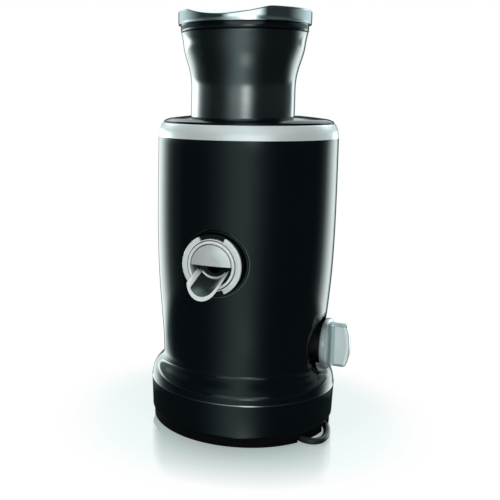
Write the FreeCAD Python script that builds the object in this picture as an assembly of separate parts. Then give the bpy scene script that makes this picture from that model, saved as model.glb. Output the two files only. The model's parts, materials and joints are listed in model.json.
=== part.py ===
"""Slim upright centrifugal juicer, millimetres, +Z up, front towards -Y, switch knob towards +X.

The origin is on the floor, on the common axis of the motor, the basket and the casing.
Each function below makes one piece, or one group of like pieces, and NODES names them.
"""
import FreeCAD
import Part
import math
import os

V = FreeCAD.Vector

# ---------------------------------------------------------------- fits and clearances
RUN_FIT = 0.08          # radial play of a turning or sliding fit
GAP = 0.3               # play between pieces that only pass each other
SLIDE_GAP = 0.6         # play of lift-out pieces
SKIN_GAP = 0.2          # play of parts set into the casing

# ---------------------------------------------------------------- casing
WALL = 3.0
FOOT_R, FOOT_IN_R, FOOT_H = 99.6, 84.0, 10.7
BASE_LOW_R, RIDGE_R, RIDGE_Z = 101.6, 102.9, 45.6
BASE_CORNER = 3.0
WAIST_R, WAIST_Z = 89.5, 76.0
BODY_TOP_R, BODY_TOP_Z = 97.4, 316.3
RIDGE_LEAN = 6.0        # degrees, how far the flare leans in just above the ridge
PLATE_T = 3.5
PLATE_GAP = 0.3
VENT_COUNT, VENT_PITCH, VENT_W, VENT_L, VENT_Y = 9, 8.5, 4.0, 32.0, 48.0

# ---------------------------------------------------------------- collar, lid and lock
COLLAR_TOP_R, COLLAR_H = 93.9, 14.7
COLLAR_BORE_R, COLLAR_LEDGE_H = 92.6, 9.7
COLLAR_THROAT_R = 89.5
LOCK_LEDGE_R, LOCK_LEDGE_Z, LOCK_LEDGE_T = 85.9, 309.0, 2.7
LOCK_T, LOCK_H = 3.4, 13.0
LOCK_TURN = 25.0        # degrees of the lid's twist
ROD_R, ROD_TRAVEL = 1.4, 3.0
SWITCH_TOP_Z, SWITCH_H, SWITCH_HALF = 196.0, 20.0, 6.0
ROD_REST_GAP = 0.6
LID_T, LID_TOP_Z = 3.0, 339.0
TAB_COUNT, TAB_SPAN, TAB_T, TAB_H = 4, 12.0, 2.5, 6.0
LID_SKIRT_T = 3.0

# ---------------------------------------------------------------- feed tube and pusher
TUBE_OFFSET = 19.5      # the tube stands in front of the axis
TUBE_R, TUBE_RIM_R, TUBE_RIM_Z = 54.9, 66.2, 424.0
TUBE_WALL, TUBE_SEAT_Z = 2.8, 335.5
# the hourglass side: share of the height from seat to rim, share of the swell at that height
TUBE_SWELL = [(0.0, 0.0), (22.5 / 88.5, 0.0), (41.5 / 88.5, 0.5 / 11.3), (55.5 / 88.5, 3.6 / 11.3),
              (71.5 / 88.5, 8.2 / 11.3), (1.0, 1.0)]
CHUTE_R, CHUTE_WALL = 33.0, 2.5
CHUTE_FUNNEL_Z, CHUTE_RIM_T = 372.0, 1.0
PUSHER_WALL = 2.4
PUSHER_BAND_OVER, PUSHER_BAND_H = 0.5, 7.3   # the band stands past the tube's rim
PUSHER_BAND_R = TUBE_RIM_R + PUSHER_BAND_OVER
CAP_OVER, CAP_H, CAP_CROWN, CAP_WALL = 2.8, 14.0, 3.4, 3.0
CAP_R = PUSHER_BAND_R + CAP_OVER
SCOOP_DEPTH, SCOOP_HALF_W, SCOOP_TILT = 7.6, 53.0, 7.8

# ---------------------------------------------------------------- spout
SPOUT_Z = 192.0
SPOUT_POCKET_R, POCKET_WALL = 34.0, 1.7
SPOUT_FLOOR, POCKET_FLOOR_T = 86.0, 2.0     # back of the recess, from the axis
BARREL_FACE, BARREL_RIM = 97.0, 103.5
TAIL_R, TAIL_END, TAIL_BORE, PIPE_FACE = 14.0, 80.0, 9.0, 77.5
BEZEL_R, BEZEL_IN_R, BEZEL_T, BEZEL_LINE = 31.3, 25.9, 2.9, 0.8
BEZEL_GAP = 27.0        # degrees, half of the break between the two broad arcs
RING_R, RING_IN_R, RING_FACE = 24.8, 22.2, 108.0
HOOD_R, HOOD_T, HOOD_CROWN = 21.1, 2.0, 1.6
TROUGH_HALF, TROUGH_DEPTH, TROUGH_SLOPE = 17.0, 12.6, 18.0
TROUGH_RIM_Z, TROUGH_TIP, TROUGH_BEAK = 187.7, 128.6, 10.9
TROUGH_LAND, BEVEL_W, BEVEL_H, TROUGH_FLOOR, ROOT_BEAD = 0.7, 3.9, 3.2, 9.3, 1.0

# ---------------------------------------------------------------- knob
KNOB_Z = 95.0
KNOB_POCKET_R, KNOB_FLOOR = 33.0, 70.0
KNOB_R, KNOB_BACK, KNOB_FACE, KNOB_CROWN = 27.5, 93.0, 99.0, 1.6
HUB_R = 16.0
GRIP_LEN, GRIP_W, GRIP_ROOT_W, GRIP_OUT, GRIP_BOW = 47.0, 8.0, 15.0, 121.0, 4.5
GRIP_END_OUT = GRIP_OUT - GRIP_BOW
GRIP_EDGE = 1.2
SPINDLE_R, SWITCH_DEPTH, SWITCH_SIDE = 4.0, 18.0, 34.0

# ---------------------------------------------------------------- motor and its carrier
DECK_Z, DECK_T, DECK_GAP = 150.0, 3.0, 0.4
LEDGE_T, LEDGE_IN_R = 3.0, 87.0
LEG_R, LEG_AT, LEG_COUNT = 6.0, 76.0, 4
NECK_R, NECK_BORE, NECK_TOP = 13.0, 10.5, 226.0
SCREW_R, SCREW_HEAD_R, SCREW_HEAD_H, SCREW_DEPTH = 1.7, 4.0, 2.5, 14.0
SHAFT_R, SHAFT_LOW, SHAFT_TOP = 4.0, 47.0, 245.0
BEARING_R, BEARING_H = 11.0, 7.0
FRAME_R, FRAME_IN_R, FRAME_T = 46.0, 38.0, 4.0
FRAME_LOW_Z, FRAME_TOP_Z = 56.0, 144.0
STATOR_LOW, STATOR_TOP, STATOR_BORE = 78.0, 120.0, 27.0
ROTOR_R = 26.4
COIL_R, COIL_IN_R, COIL_H = 37.0, 29.0, 5.6
BOLT_R, BOLT_AT, BOLT_HEAD_R, BOLT_HEAD_H = 2.0, 42.0, 3.6, 2.5
MOUNT_R, MOUNT_AT = 7.0, 34.0
FAN_R, FAN_LOW, FAN_H, FAN_BLADES = 34.0, 65.0, 6.0, 9
COMM_R, COMM_LOW, COMM_H, BRUSH_W, BRUSH_L = 12.0, 125.0, 10.0, 7.0, 16.0
BUSH_H = 12.0
SEAL_H = 4.0
COUPLING_R, COUPLING_LOW, COUPLING_H = 9.0, 232.0, 13.0

# ---------------------------------------------------------------- juice path
TUB_R, TUB_WALL, TUB_TOP, TUB_TUBE_T = 85.0, 2.0, 306.0, 2.5
BOWL_R, BOWL_WALL, BOWL_FLOOR_Z, BOWL_FLOOR_T, BOWL_TOP = 73.0, 2.5, 228.0, 3.0, 295.0
BOWL_TUBE_R, BOWL_TUBE_TOP = 18.5, 243.0
PIPE_AT, PIPE_R, PIPE_LOW = 60.0, 12.0, 179.0
PIPE_STEP = 0.5          # the downpipe is this much wider in radius than its nozzle
FLUTE_HALF = 15.0
BASKET_FLOOR_Z, BASKET_FLOOR_R, BASKET_FLOOR_T = 248.0, 59.5, 3.0
BASKET_TOP_R, BASKET_TOP_Z, BASKET_T = 66.0, 299.0, 1.6
BASKET_LIP_R, BASKET_LIP_T = 76.0, 2.0
HUB_SOCKET_R, HUB_SKIRT_R, HUB_SKIRT_T = 13.0, 22.5, 2.0
GRATER_R, GRATER_T, GRATER_TOOTH, GRATER_ROWS = 56.0, 1.6, 1.4, 12
CHUTE_END_Z = 258.0
PUSHER_END_Z = 259.0

# ---------------------------------------------------------------- board and mains lead
BOARD_L, BOARD_W, BOARD_T, BOARD_Z = 62.0, 40.0, 1.6, 28.0
CORD_R = 3.5
GLAND_ROOT, GLAND_END, GLAND_Z = (50.0, -28.0), (66.0, -40.0), 5.2
GLAND_ROOT_R, GLAND_END_R, GLAND_BLOCK = 5.0, 4.2, 13.0
NOTCH_W, NOTCH_H = 10.0, 8.3
CORD_ROUTE = [
    (66.0, -40.0, 5.2), (72.5, -45.0, 4.6), (79.5, -50.0, 4.0), (88.0, -54.2, 3.7),
    (97.0, -54.5, 3.6), (104.0, -48.5, 3.6), (106.3, -38.5, 3.6), (105.5, -26.0, 3.6),
    (102.0, -13.0, 3.6), (96.0, 0.0, 3.6), (87.0, 14.0, 3.6), (74.0, 30.0, 3.6),
    (57.0, 47.0, 3.6), (39.0, 62.0, 3.6), (22.0, 78.0, 3.6), (8.0, 96.0, 3.6),
    (-2.0, 115.0, 3.6), (-7.0, 132.0, 3.6), (-8.3, 146.0, 3.6),
]
COIL_AT = (-52.0, 160.0)
COIL_MID_R, COIL_HALF_W, CORD_COIL_H = 40.0, 7.0, 14.0
TAIL_ROUTE = [
    (-95.0, 150.0, 10.4), (-97.6, 141.0, 9.9), (-101.7, 131.0, 8.9), (-106.6, 121.0, 7.8),
    (-109.8, 111.0, 7.1), (-110.6, 103.0, 7.0),
]
PLUG_X, PLUG_Y, PLUG_Z = -110.8, 103.0, 7.0
PLUG_BOOT_L, PLUG_L, PLUG_W, PLUG_T = 18.0, 34.0, 35.0, 13.6
PIN_R, PIN_L, PIN_GAP = 2.0, 19.0, 18.6
TIE_W, TIE_T = 9.0, 1.2

# ---------------------------------------------------------------- values that follow
OUTSIDE = RIDGE_R + 30.0        # cutters end this far from the axis, clear of the casing
PLATE_Z = FOOT_H
PLATE_TOP = PLATE_Z + PLATE_T
COLLAR_TOP_Z = BODY_TOP_Z + COLLAR_H
LID_LOW_Z = BODY_TOP_Z + COLLAR_LEDGE_H + GAP
LID_EDGE_R = COLLAR_BORE_R - GAP
LOCK_Z = LOCK_LEDGE_Z + LOCK_LEDGE_T + GAP
LOCK_OUT_R = COLLAR_THROAT_R - GAP
LOCK_IN_R = LOCK_OUT_R - LOCK_T
ROD_AT = 0.5 * (LOCK_OUT_R + LOCK_IN_R)
SKIRT_R = LOCK_IN_R - GAP
TAB_Z = LOCK_Z + 6.0
TUB_LOW = DECK_Z + DECK_T
TUB_TUBE_IN = NECK_R + SLIDE_GAP
PUSHER_R = CHUTE_R - SLIDE_GAP
BAND_Z = TUBE_RIM_Z + CHUTE_RIM_T + GAP
CAP_Z = BAND_Z + PUSHER_BAND_H
FRAME_LOW_TOP = FRAME_LOW_Z + FRAME_T
FRAME_TOP_LOW = FRAME_TOP_Z - FRAME_T
SEAL_Z = NECK_TOP - SEAL_H
BUSH_Z = SEAL_Z - BUSH_H
SPOUT_BACK = SPOUT_FLOOR + POCKET_FLOOR_T + GAP
BEZEL_FACE = BARREL_RIM + BEZEL_T


# ================================================================ helpers
def cyl(radius, z0, z1, x=0.0, y=0.0):
    """Upright cylinder from z0 to z1."""
    return Part.makeCylinder(radius, z1 - z0, V(x, y, z0))


def ring(outer, inner, z0, z1, x=0.0, y=0.0):
    """Upright tube from z0 to z1."""
    return cyl(outer, z0, z1, x, y).cut(cyl(inner, z0 - 1, z1 + 1, x, y))


def box(x0, x1, y0, y1, z0, z1):
    """Box between two corners."""
    return Part.makeBox(x1 - x0, y1 - y0, z1 - z0, V(x0, y0, z0))


def turned(points, x=0.0, y=0.0):
    """Solid of revolution of a closed (r, z) outline about the upright axis."""
    corners = [V(r, 0, z) for r, z in points]
    face = Part.Face(Part.makePolygon(corners + corners[:1]))
    solid = face.revolve(V(0, 0, 0), V(0, 0, 1), 360)
    solid.translate(V(x, y, 0))
    return solid


def spline(points, start=None, end=None):
    """Smooth edge through (r, z) points, with the tangents at its ends if they are given."""
    curve = Part.BSplineCurve()
    if start is None:
        curve.interpolate([V(r, 0, z) for r, z in points])
    else:
        curve.interpolate(Points=[V(r, 0, z) for r, z in points],
                          InitialTangent=V(start[0], 0, start[1]),
                          FinalTangent=V(end[0], 0, end[1]))
    return curve.toShape()


def line(p, q):
    """Straight edge between two (r, z) points."""
    return Part.LineSegment(V(p[0], 0, p[1]), V(q[0], 0, q[1])).toShape()


def revolved(edges):
    """Solid of revolution of a closed loop of edges."""
    face = Part.Face(Part.Wire(edges))
    return face.revolve(V(0, 0, 0), V(0, 0, 1), 360)


def to_front(shape, z):
    """Turn a shape made along +Z so that it points along -Y at height z."""
    out = shape.copy()
    out.rotate(V(0, 0, 0), V(1, 0, 0), 90)
    out.translate(V(0, 0, z))
    return out


def to_side(shape, z):
    """Turn a shape made along +Z so that it points along +X at height z, its +X side up."""
    out = shape.copy()
    out.rotate(V(0, 0, 0), V(0, 1, 0), 90)
    out.translate(V(0, 0, z))
    return out


def round_about(shape, count, first=0.0):
    """Copies of a shape spread evenly about the upright axis."""
    copies = []
    for i in range(count):
        one = shape.copy()
        one.rotate(V(0, 0, 0), V(0, 0, 1), first + 360.0 * i / count)
        copies.append(one)
    return copies


def sector(outer, inner, z0, z1, middle, span):
    """Piece of an upright tube, centred on an angle, with the given span in degrees."""
    part = Part.makeCylinder(outer, z1 - z0, V(0, 0, z0), V(0, 0, 1), span)
    part.rotate(V(0, 0, 0), V(0, 0, 1), middle - span / 2)
    return part.cut(cyl(inner, z0 - 1, z1 + 1))


def fused(shapes):
    """One solid from overlapping or touching shapes."""
    return shapes[0].multiFuse(shapes[1:]).removeSplitter()


# ================================================================ casing
def wall_edges(inset):
    """The casing's upright outline from the ridge to the top, moved in by inset."""
    lean = math.radians(RIDGE_LEAN)
    flare = [(RIDGE_R - inset, RIDGE_Z), (RIDGE_R - 1.6 - inset, 54.4), (97.3 - inset, 61.6),
             (91.7 - inset, 68.1), (WAIST_R - inset, WAIST_Z)]
    body = [(WAIST_R - inset, WAIST_Z), (91.0 - inset, 106.0), (95.2 - inset, 156.0),
            (97.1 - inset, 196.0), (97.7 - inset, 240.0), (BODY_TOP_R - inset, BODY_TOP_Z)]
    return [spline(flare, (-math.sin(lean), math.cos(lean)), (0, 1)),
            spline(body, (0, 1), (-0.01, 1))]


def body_core(inset):
    """Solid inside the casing's outer skin, moved in by inset."""
    low = BASE_LOW_R - inset
    corner = (low - BASE_CORNER * 0.5, PLATE_Z)
    above = (low, PLATE_Z + BASE_CORNER)
    edges = [line((0, PLATE_Z), corner), line(corner, above),
             line(above, (RIDGE_R - inset, RIDGE_Z))]
    edges += wall_edges(inset)
    edges += [line((BODY_TOP_R - inset, BODY_TOP_Z), (0, BODY_TOP_Z)),
              line((0, BODY_TOP_Z), (0, PLATE_Z))]
    return revolved(edges)


def body_shell():
    """Casing with the openings for the spout and the knob, and a ledge for the deck."""
    shell = body_core(0).cut(body_core(WALL))
    ledge = cyl(OUTSIDE, DECK_Z - LEDGE_T, DECK_Z).common(body_core(WALL - 0.5))
    ledge = ledge.cut(cyl(LEDGE_IN_R, DECK_Z - LEDGE_T - 1, DECK_Z + 1))
    shell = shell.fuse(ledge)
    shell = shell.cut(to_front(cyl(SPOUT_POCKET_R + SKIN_GAP, SPOUT_FLOOR - 20, OUTSIDE), SPOUT_Z))
    return shell.cut(to_side(cyl(KNOB_POCKET_R + SKIN_GAP, KNOB_FLOOR - 10, OUTSIDE), KNOB_Z))


def cord_channel(points, half, top):
    """Straight-sided channel along a route, from below the floor up to top."""
    pieces = []
    for (x0, y0, _), (x1, y1, _) in zip(points, points[1:]):
        length = math.hypot(x1 - x0, y1 - y0)
        run = box(0, length, -half, half, -1, top)
        run.rotate(V(0, 0, 0), V(0, 0, 1), math.degrees(math.atan2(y1 - y0, x1 - x0)))
        run.translate(V(x0, y0, 0))
        pieces.append(run)
    pieces += [cyl(half, -1, top, x, y) for x, y, _ in points]
    return pieces


def foot_ring():
    """Rubber ring with slots where the lead passes under it."""
    foot = ring(FOOT_R, FOOT_IN_R, 0, FOOT_H)
    rim = [e for e in foot.Edges if abs(e.BoundBox.ZMax) < 0.01]
    foot = foot.makeFillet(1.0, rim)
    for piece in cord_channel(CORD_ROUTE, NOTCH_W / 2, NOTCH_H):
        foot = foot.cut(piece)
    return foot


def leg_places():
    """Centres of the deck's legs and of the screws under them."""
    step = 2 * math.pi / LEG_COUNT
    return [(LEG_AT * math.cos(step * (i + 0.5)), LEG_AT * math.sin(step * (i + 0.5)))
            for i in range(LEG_COUNT)]


def board_places():
    """Corners where the control board stands on its posts."""
    dx, dy = BOARD_L / 2 - 5, BOARD_W / 2 - 5
    return [(sx * dx, sy * dy) for sx in (-1, 1) for sy in (-1, 1)]


def base_plate():
    """Bottom plate with air slots, board posts and the block that grips the lead."""
    plate = cyl(BASE_LOW_R - BASE_CORNER * 0.5 - WALL - PLATE_GAP, PLATE_Z, PLATE_TOP)
    for i in range(VENT_COUNT):
        x = VENT_PITCH * (i - (VENT_COUNT - 1) / 2)
        plate = plate.cut(box(x - VENT_W / 2, x + VENT_W / 2, VENT_Y - VENT_L / 2,
                              VENT_Y + VENT_L / 2, PLATE_Z - 1, PLATE_TOP + 1))
    for x, y in leg_places():
        plate = plate.cut(cyl(SCREW_R + GAP, PLATE_Z - 1, PLATE_TOP + 1, x, y))
    posts = [cyl(3.0, PLATE_TOP, BOARD_Z, x, y) for x, y in board_places()]
    turn = math.degrees(math.atan2(GLAND_END[1] - GLAND_ROOT[1], GLAND_END[0] - GLAND_ROOT[0]))
    block = box(-GLAND_BLOCK, 0, -GLAND_BLOCK / 2, GLAND_BLOCK / 2, GAP, PLATE_Z)
    block.rotate(V(0, 0, 0), V(0, 0, 1), turn)
    block.translate(V(GLAND_ROOT[0], GLAND_ROOT[1], 0))
    return fused([plate, block] + posts)


def base_screws():
    """Screws from below into the deck's legs."""
    return Part.makeCompound([
        cyl(SCREW_HEAD_R, PLATE_Z - SCREW_HEAD_H, PLATE_Z, x, y).fuse(
            cyl(SCREW_R - 0.05, PLATE_Z - 0.5, PLATE_TOP + SCREW_DEPTH, x, y))
        for x, y in leg_places()])


def collar_ring():
    """Silver ring on the casing: it seats the lid and carries the lock ring on its ledge."""
    r, z = BODY_TOP_R, BODY_TOP_Z
    outer = spline([(r + 0.1, z), (r - 0.3, z + 3.0), (r - 1.3, z + 8.5),
                    (COLLAR_TOP_R, COLLAR_TOP_Z - 1.0)])
    spigot = BODY_TOP_R - WALL - SKIN_GAP
    edges = [outer,
             line((COLLAR_TOP_R, COLLAR_TOP_Z - 1.0), (COLLAR_TOP_R - 0.6, COLLAR_TOP_Z)),
             line((COLLAR_TOP_R - 0.6, COLLAR_TOP_Z), (COLLAR_BORE_R, COLLAR_TOP_Z)),
             line((COLLAR_BORE_R, COLLAR_TOP_Z), (COLLAR_BORE_R, z + COLLAR_LEDGE_H)),
             line((COLLAR_BORE_R, z + COLLAR_LEDGE_H), (COLLAR_THROAT_R, z + COLLAR_LEDGE_H)),
             line((COLLAR_THROAT_R, z + COLLAR_LEDGE_H),
                  (COLLAR_THROAT_R, LOCK_LEDGE_Z + LOCK_LEDGE_T)),
             line((COLLAR_THROAT_R, LOCK_LEDGE_Z + LOCK_LEDGE_T),
                  (LOCK_LEDGE_R, LOCK_LEDGE_Z + LOCK_LEDGE_T)),
             line((LOCK_LEDGE_R, LOCK_LEDGE_Z + LOCK_LEDGE_T), (LOCK_LEDGE_R, LOCK_LEDGE_Z)),
             line((LOCK_LEDGE_R, LOCK_LEDGE_Z), (spigot, LOCK_LEDGE_Z)),
             line((spigot, LOCK_LEDGE_Z), (spigot, z)),
             line((spigot, z), (r + 0.1, z))]
    return revolved(edges).cut(cyl(ROD_R + RUN_FIT, LOCK_LEDGE_Z - 1, LOCK_Z, 0, ROD_AT))


# ================================================================ lid and lock
def lock_ring():
    """Ring that the lid's tabs turn; a ramp under it lets the interlock rod rise."""
    body = ring(LOCK_OUT_R, LOCK_IN_R, LOCK_Z, LOCK_Z + LOCK_H)
    for notch in round_about(sector(LOCK_OUT_R + 1, LOCK_IN_R - 1, TAB_Z - GAP,
                                    LOCK_Z + LOCK_H + 1, 0, TAB_SPAN + 1.0), TAB_COUNT, 45):
        body = body.cut(notch)
    middle = LOCK_TURN / 2 + 1.0
    half = ROD_AT * math.sin(math.radians(middle + 1.5))
    rise = ROD_TRAVEL + 1.2
    wedge = Part.Face(Part.makePolygon([V(-half, 0, LOCK_Z - 1), V(half, 0, LOCK_Z - 1),
                                        V(half, 0, LOCK_Z), V(-half, 0, LOCK_Z + rise),
                                        V(-half, 0, LOCK_Z - 1)]))
    wedge = wedge.extrude(V(0, -14, 0))
    wedge.translate(V(0, -ROD_AT + 5, 0))
    wedge.rotate(V(0, 0, 0), V(0, 0, 1), 180 - middle)
    return body.cut(wedge)


def interlock_rod():
    """Push rod between the lock ring and the safety switch."""
    return cyl(ROD_R, SWITCH_TOP_Z + GAP, LOCK_Z - ROD_REST_GAP, 0, ROD_AT)


def interlock_switch():
    """Safety switch fixed to the inside of the casing's back."""
    block = box(-SWITCH_HALF, SWITCH_HALF, TUB_R + 1.0, OUTSIDE,
                SWITCH_TOP_Z - SWITCH_H, SWITCH_TOP_Z - 1.5)
    block = block.common(body_core(WALL))
    return block.fuse(cyl(ROD_R - 0.2, SWITCH_TOP_Z - 2, SWITCH_TOP_Z, 0, ROD_AT))


def lid():
    """Low dome with a skirt, the tabs that turn the lock ring and the seat of the tube."""
    z = COLLAR_TOP_Z
    outline = [(0, LID_LOW_Z), (SKIRT_R - LID_SKIRT_T, LID_LOW_Z),
               (SKIRT_R - LID_SKIRT_T, TUB_TOP + 3.0), (SKIRT_R, TUB_TOP + 3.0),
               (SKIRT_R, LID_LOW_Z), (LID_EDGE_R, LID_LOW_Z), (LID_EDGE_R, z + 0.4),
               (LID_EDGE_R - 1.1, z + 2.6), (LID_EDGE_R - 6.3, z + 4.8),
               (LID_EDGE_R - 22.3, z + 6.8), (LID_EDGE_R - 34, LID_TOP_Z), (0, LID_TOP_Z)]
    body = turned(outline)
    under = turned([(0, LID_LOW_Z - 1), (SKIRT_R - LID_SKIRT_T - 1, LID_LOW_Z - 1),
                    (SKIRT_R - LID_SKIRT_T - 1, z + 1.0), (LID_EDGE_R - 34, LID_TOP_Z - 7.0),
                    (0, LID_TOP_Z - 7.0)])
    body = body.cut(under)
    tabs = round_about(sector(SKIRT_R + TAB_T, SKIRT_R - 1, TAB_Z, TAB_Z + TAB_H, 0, TAB_SPAN),
                       TAB_COUNT, 45)
    body = fused([body] + tabs)
    seat = cyl(TUBE_R + SKIN_GAP, TUBE_SEAT_Z, LID_TOP_Z + 5, 0, -TUBE_OFFSET)
    hole = cyl(CHUTE_R + CHUTE_WALL + GAP, LID_LOW_Z - 9, LID_TOP_Z + 9, 0, -TUBE_OFFSET)
    return body.cut(seat).cut(hole)


def lid_gasket():
    """Rubber ring under the lid's skirt, just over the tub's rim."""
    return ring(SKIRT_R, SKIRT_R - LID_SKIRT_T - 1.5, TUB_TOP + GAP, TUB_TOP + 3.0)


def tube_side(inset):
    """Hourglass outline of the feed tube from its seat to its rim, moved in by inset."""
    rise, flare = TUBE_RIM_Z - TUBE_SEAT_Z, TUBE_RIM_R - TUBE_R
    return spline([(TUBE_R - inset + out * flare, TUBE_SEAT_Z + up * rise)
                   for up, out in TUBE_SWELL], (0, 1), (0.35, 1))


def tube_solid(inset):
    """Solid inside the tube's outline, moved in by inset."""
    body = revolved([line((0, TUBE_SEAT_Z), (TUBE_R - inset, TUBE_SEAT_Z)), tube_side(inset),
                     line((TUBE_RIM_R - inset, TUBE_RIM_Z), (0, TUBE_RIM_Z)),
                     line((0, TUBE_RIM_Z), (0, TUBE_SEAT_Z))])
    body.translate(V(0, -TUBE_OFFSET, 0))
    return body


def feed_tube():
    """Outer hourglass shell of the feed tube."""
    return tube_solid(0).cut(tube_solid(TUBE_WALL))


def feed_chute():
    """Straight chute with a funnel mouth that hangs on the tube's rim."""
    out_r = CHUTE_R + CHUTE_WALL
    mouth_in = TUBE_RIM_R - TUBE_WALL - GAP - CHUTE_WALL
    mouth = TUBE_RIM_R - TUBE_WALL - GAP
    z1 = TUBE_RIM_Z
    return turned([(CHUTE_R, CHUTE_END_Z), (out_r, CHUTE_END_Z), (out_r, CHUTE_FUNNEL_Z),
                   (mouth - 1.2, z1 - 3.0), (mouth - 1.2, z1), (TUBE_RIM_R - 0.4, z1),
                   (TUBE_RIM_R - 0.4, z1 + CHUTE_RIM_T), (mouth_in - 1.2, z1 + CHUTE_RIM_T),
                   (mouth_in - 1.2, z1 - 3.0), (CHUTE_R, CHUTE_FUNNEL_Z)], 0, -TUBE_OFFSET)


def pusher_body():
    """Hollow plug that slides in the chute."""
    plug = cyl(PUSHER_R, PUSHER_END_Z, BAND_Z, 0, -TUBE_OFFSET)
    low = [e for e in plug.Edges if abs(e.BoundBox.ZMax - PUSHER_END_Z) < 0.01]
    plug = plug.makeFillet(2.0, low)
    return plug.cut(cyl(PUSHER_R - PUSHER_WALL, PUSHER_END_Z + PUSHER_WALL, BAND_Z + 1,
                        0, -TUBE_OFFSET))


def pusher_flange():
    """Black band under the cap; it rests on the rim of the tube."""
    band = cyl(PUSHER_BAND_R, BAND_Z, CAP_Z, 0, -TUBE_OFFSET)
    return band.cut(cyl(PUSHER_R - PUSHER_WALL - 2, BAND_Z - 1, CAP_Z - 2.5, 0, -TUBE_OFFSET))


def cap_solid():
    """Outer form of the cap: rounded rim, gently crowned top, finger scoop at the front."""
    top, rim = CAP_Z + CAP_H, 2.4
    bulge = Part.Arc(V(CAP_R - 0.2, 0, CAP_Z), V(CAP_R, 0, CAP_Z + 0.6 * CAP_H),
                     V(CAP_R - 0.3, 0, top - rim)).toShape()
    corner = Part.Arc(V(CAP_R - 0.3, 0, top - rim), V(CAP_R - 0.8, 0, top - 0.6),
                      V(CAP_R - rim, 0, top)).toShape()
    crown = Part.Arc(V(CAP_R - rim, 0, top), V(CAP_R / 2, 0, top + 0.75 * CAP_CROWN),
                     V(0, 0, top + CAP_CROWN)).toShape()
    body = revolved([line((0, CAP_Z), (CAP_R - 0.2, CAP_Z)), bulge, corner, crown,
                     line((0, top + CAP_CROWN), (0, CAP_Z))])
    radius = (SCOOP_HALF_W ** 2 + SCOOP_DEPTH ** 2) / (2 * SCOOP_DEPTH)
    scoop = Part.makeCylinder(radius, 160, V(0, 0, 0), V(0, 1, 0))
    scoop.translate(V(0, -30, radius))
    scoop.rotate(V(0, 0, 0), V(1, 0, 0), SCOOP_TILT)
    scoop.translate(V(0, -CAP_R, top - SCOOP_DEPTH))
    body = body.cut(scoop)
    body.translate(V(0, -TUBE_OFFSET, 0))
    return body


def pusher_cap():
    """Silver cap, hollow below."""
    solid = cap_solid()
    hollow = solid.copy()
    hollow.translate(V(0, 0, -CAP_WALL))
    hollow = hollow.common(cyl(CAP_R - CAP_WALL, CAP_Z - 9, CAP_Z + 40, 0, -TUBE_OFFSET))
    return solid.cut(hollow)


# ================================================================ spout
def spout_pocket():
    """Black recess set into the casing, with a bearing hole for the spout's tail."""
    cup = to_front(cyl(SPOUT_POCKET_R, SPOUT_FLOOR, OUTSIDE), SPOUT_Z)
    cup = cup.common(body_core(SKIN_GAP))
    floor = SPOUT_FLOOR + POCKET_FLOOR_T
    cup = cup.cut(to_front(cyl(SPOUT_POCKET_R - POCKET_WALL, floor, OUTSIDE), SPOUT_Z))
    return cup.cut(to_front(cyl(TAIL_R + RUN_FIT, SPOUT_FLOOR - 5, OUTSIDE), SPOUT_Z))


def spout_barrel():
    """Turning core of the spout: a black drum with a recessed face and a hollow tail."""
    body = fused([cyl(BEZEL_R, SPOUT_BACK, BARREL_FACE),
                  ring(BEZEL_R, BEZEL_IN_R, BARREL_FACE, BARREL_RIM),
                  cyl(TAIL_R, TAIL_END, SPOUT_BACK + 1)])
    return to_front(body.cut(cyl(TAIL_BORE, TAIL_END - 1, BARREL_FACE + 1)), SPOUT_Z)


def spout_bezel():
    """Bright line round the drum's face with two broad arcs, a grip for turning the spout."""
    body = ring(BEZEL_IN_R + BEZEL_LINE, BEZEL_IN_R, BARREL_RIM, BEZEL_FACE)
    for middle in (0, 180):
        arc = sector(BEZEL_R, BEZEL_IN_R, BARREL_RIM, BEZEL_FACE, middle, 180 - 2 * BEZEL_GAP)
        body = body.fuse(arc)
    body = body.removeSplitter()
    rim = [e for e in body.Edges if e.BoundBox.ZMin > BEZEL_FACE - 0.01]
    return to_front(body.makeFillet(0.3, rim), SPOUT_Z)


def spout_collar():
    """Bright ring round the hood; it stands in the drum's recess."""
    return to_front(turned([(RING_IN_R, BARREL_FACE), (RING_R, BARREL_FACE),
                            (RING_R, RING_FACE - 0.5), (RING_R - 0.5, RING_FACE),
                            (RING_IN_R + 0.4, RING_FACE), (RING_IN_R, RING_FACE - 0.4)]),
                    SPOUT_Z)


def trough_bar(section, back, ahead):
    """Bar of a closed (x, z) section along the trough's sloping line, from back to ahead."""
    face = Part.Face(Part.Wire(section))
    bar = face.extrude(V(0, -(ahead - back), 0))
    bar.translate(V(0, -back, 0))
    bar.rotate(V(0, 0, 0), V(1, 0, 0), TROUGH_SLOPE)
    bar.translate(V(0, -BARREL_FACE, TROUGH_RIM_Z))
    return bar


def trough_floor(lift):
    """Closed section of the channel: bevelled rims over a round floor."""
    half = TROUGH_HALF - TROUGH_LAND
    low = (half - BEVEL_W, -BEVEL_H + lift)
    edges = [line((-low[0], low[1]), (-half, lift)), line((-half, lift), (-half, lift + 3)),
             line((-half, lift + 3), (half, lift + 3)), line((half, lift + 3), (half, lift)),
             line((half, lift), low)]
    floor = Part.Arc(V(low[0], 0, low[1]), V(0, 0, lift - TROUGH_FLOOR),
                     V(-low[0], 0, low[1])).toShape()
    return edges + [floor]


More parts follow.
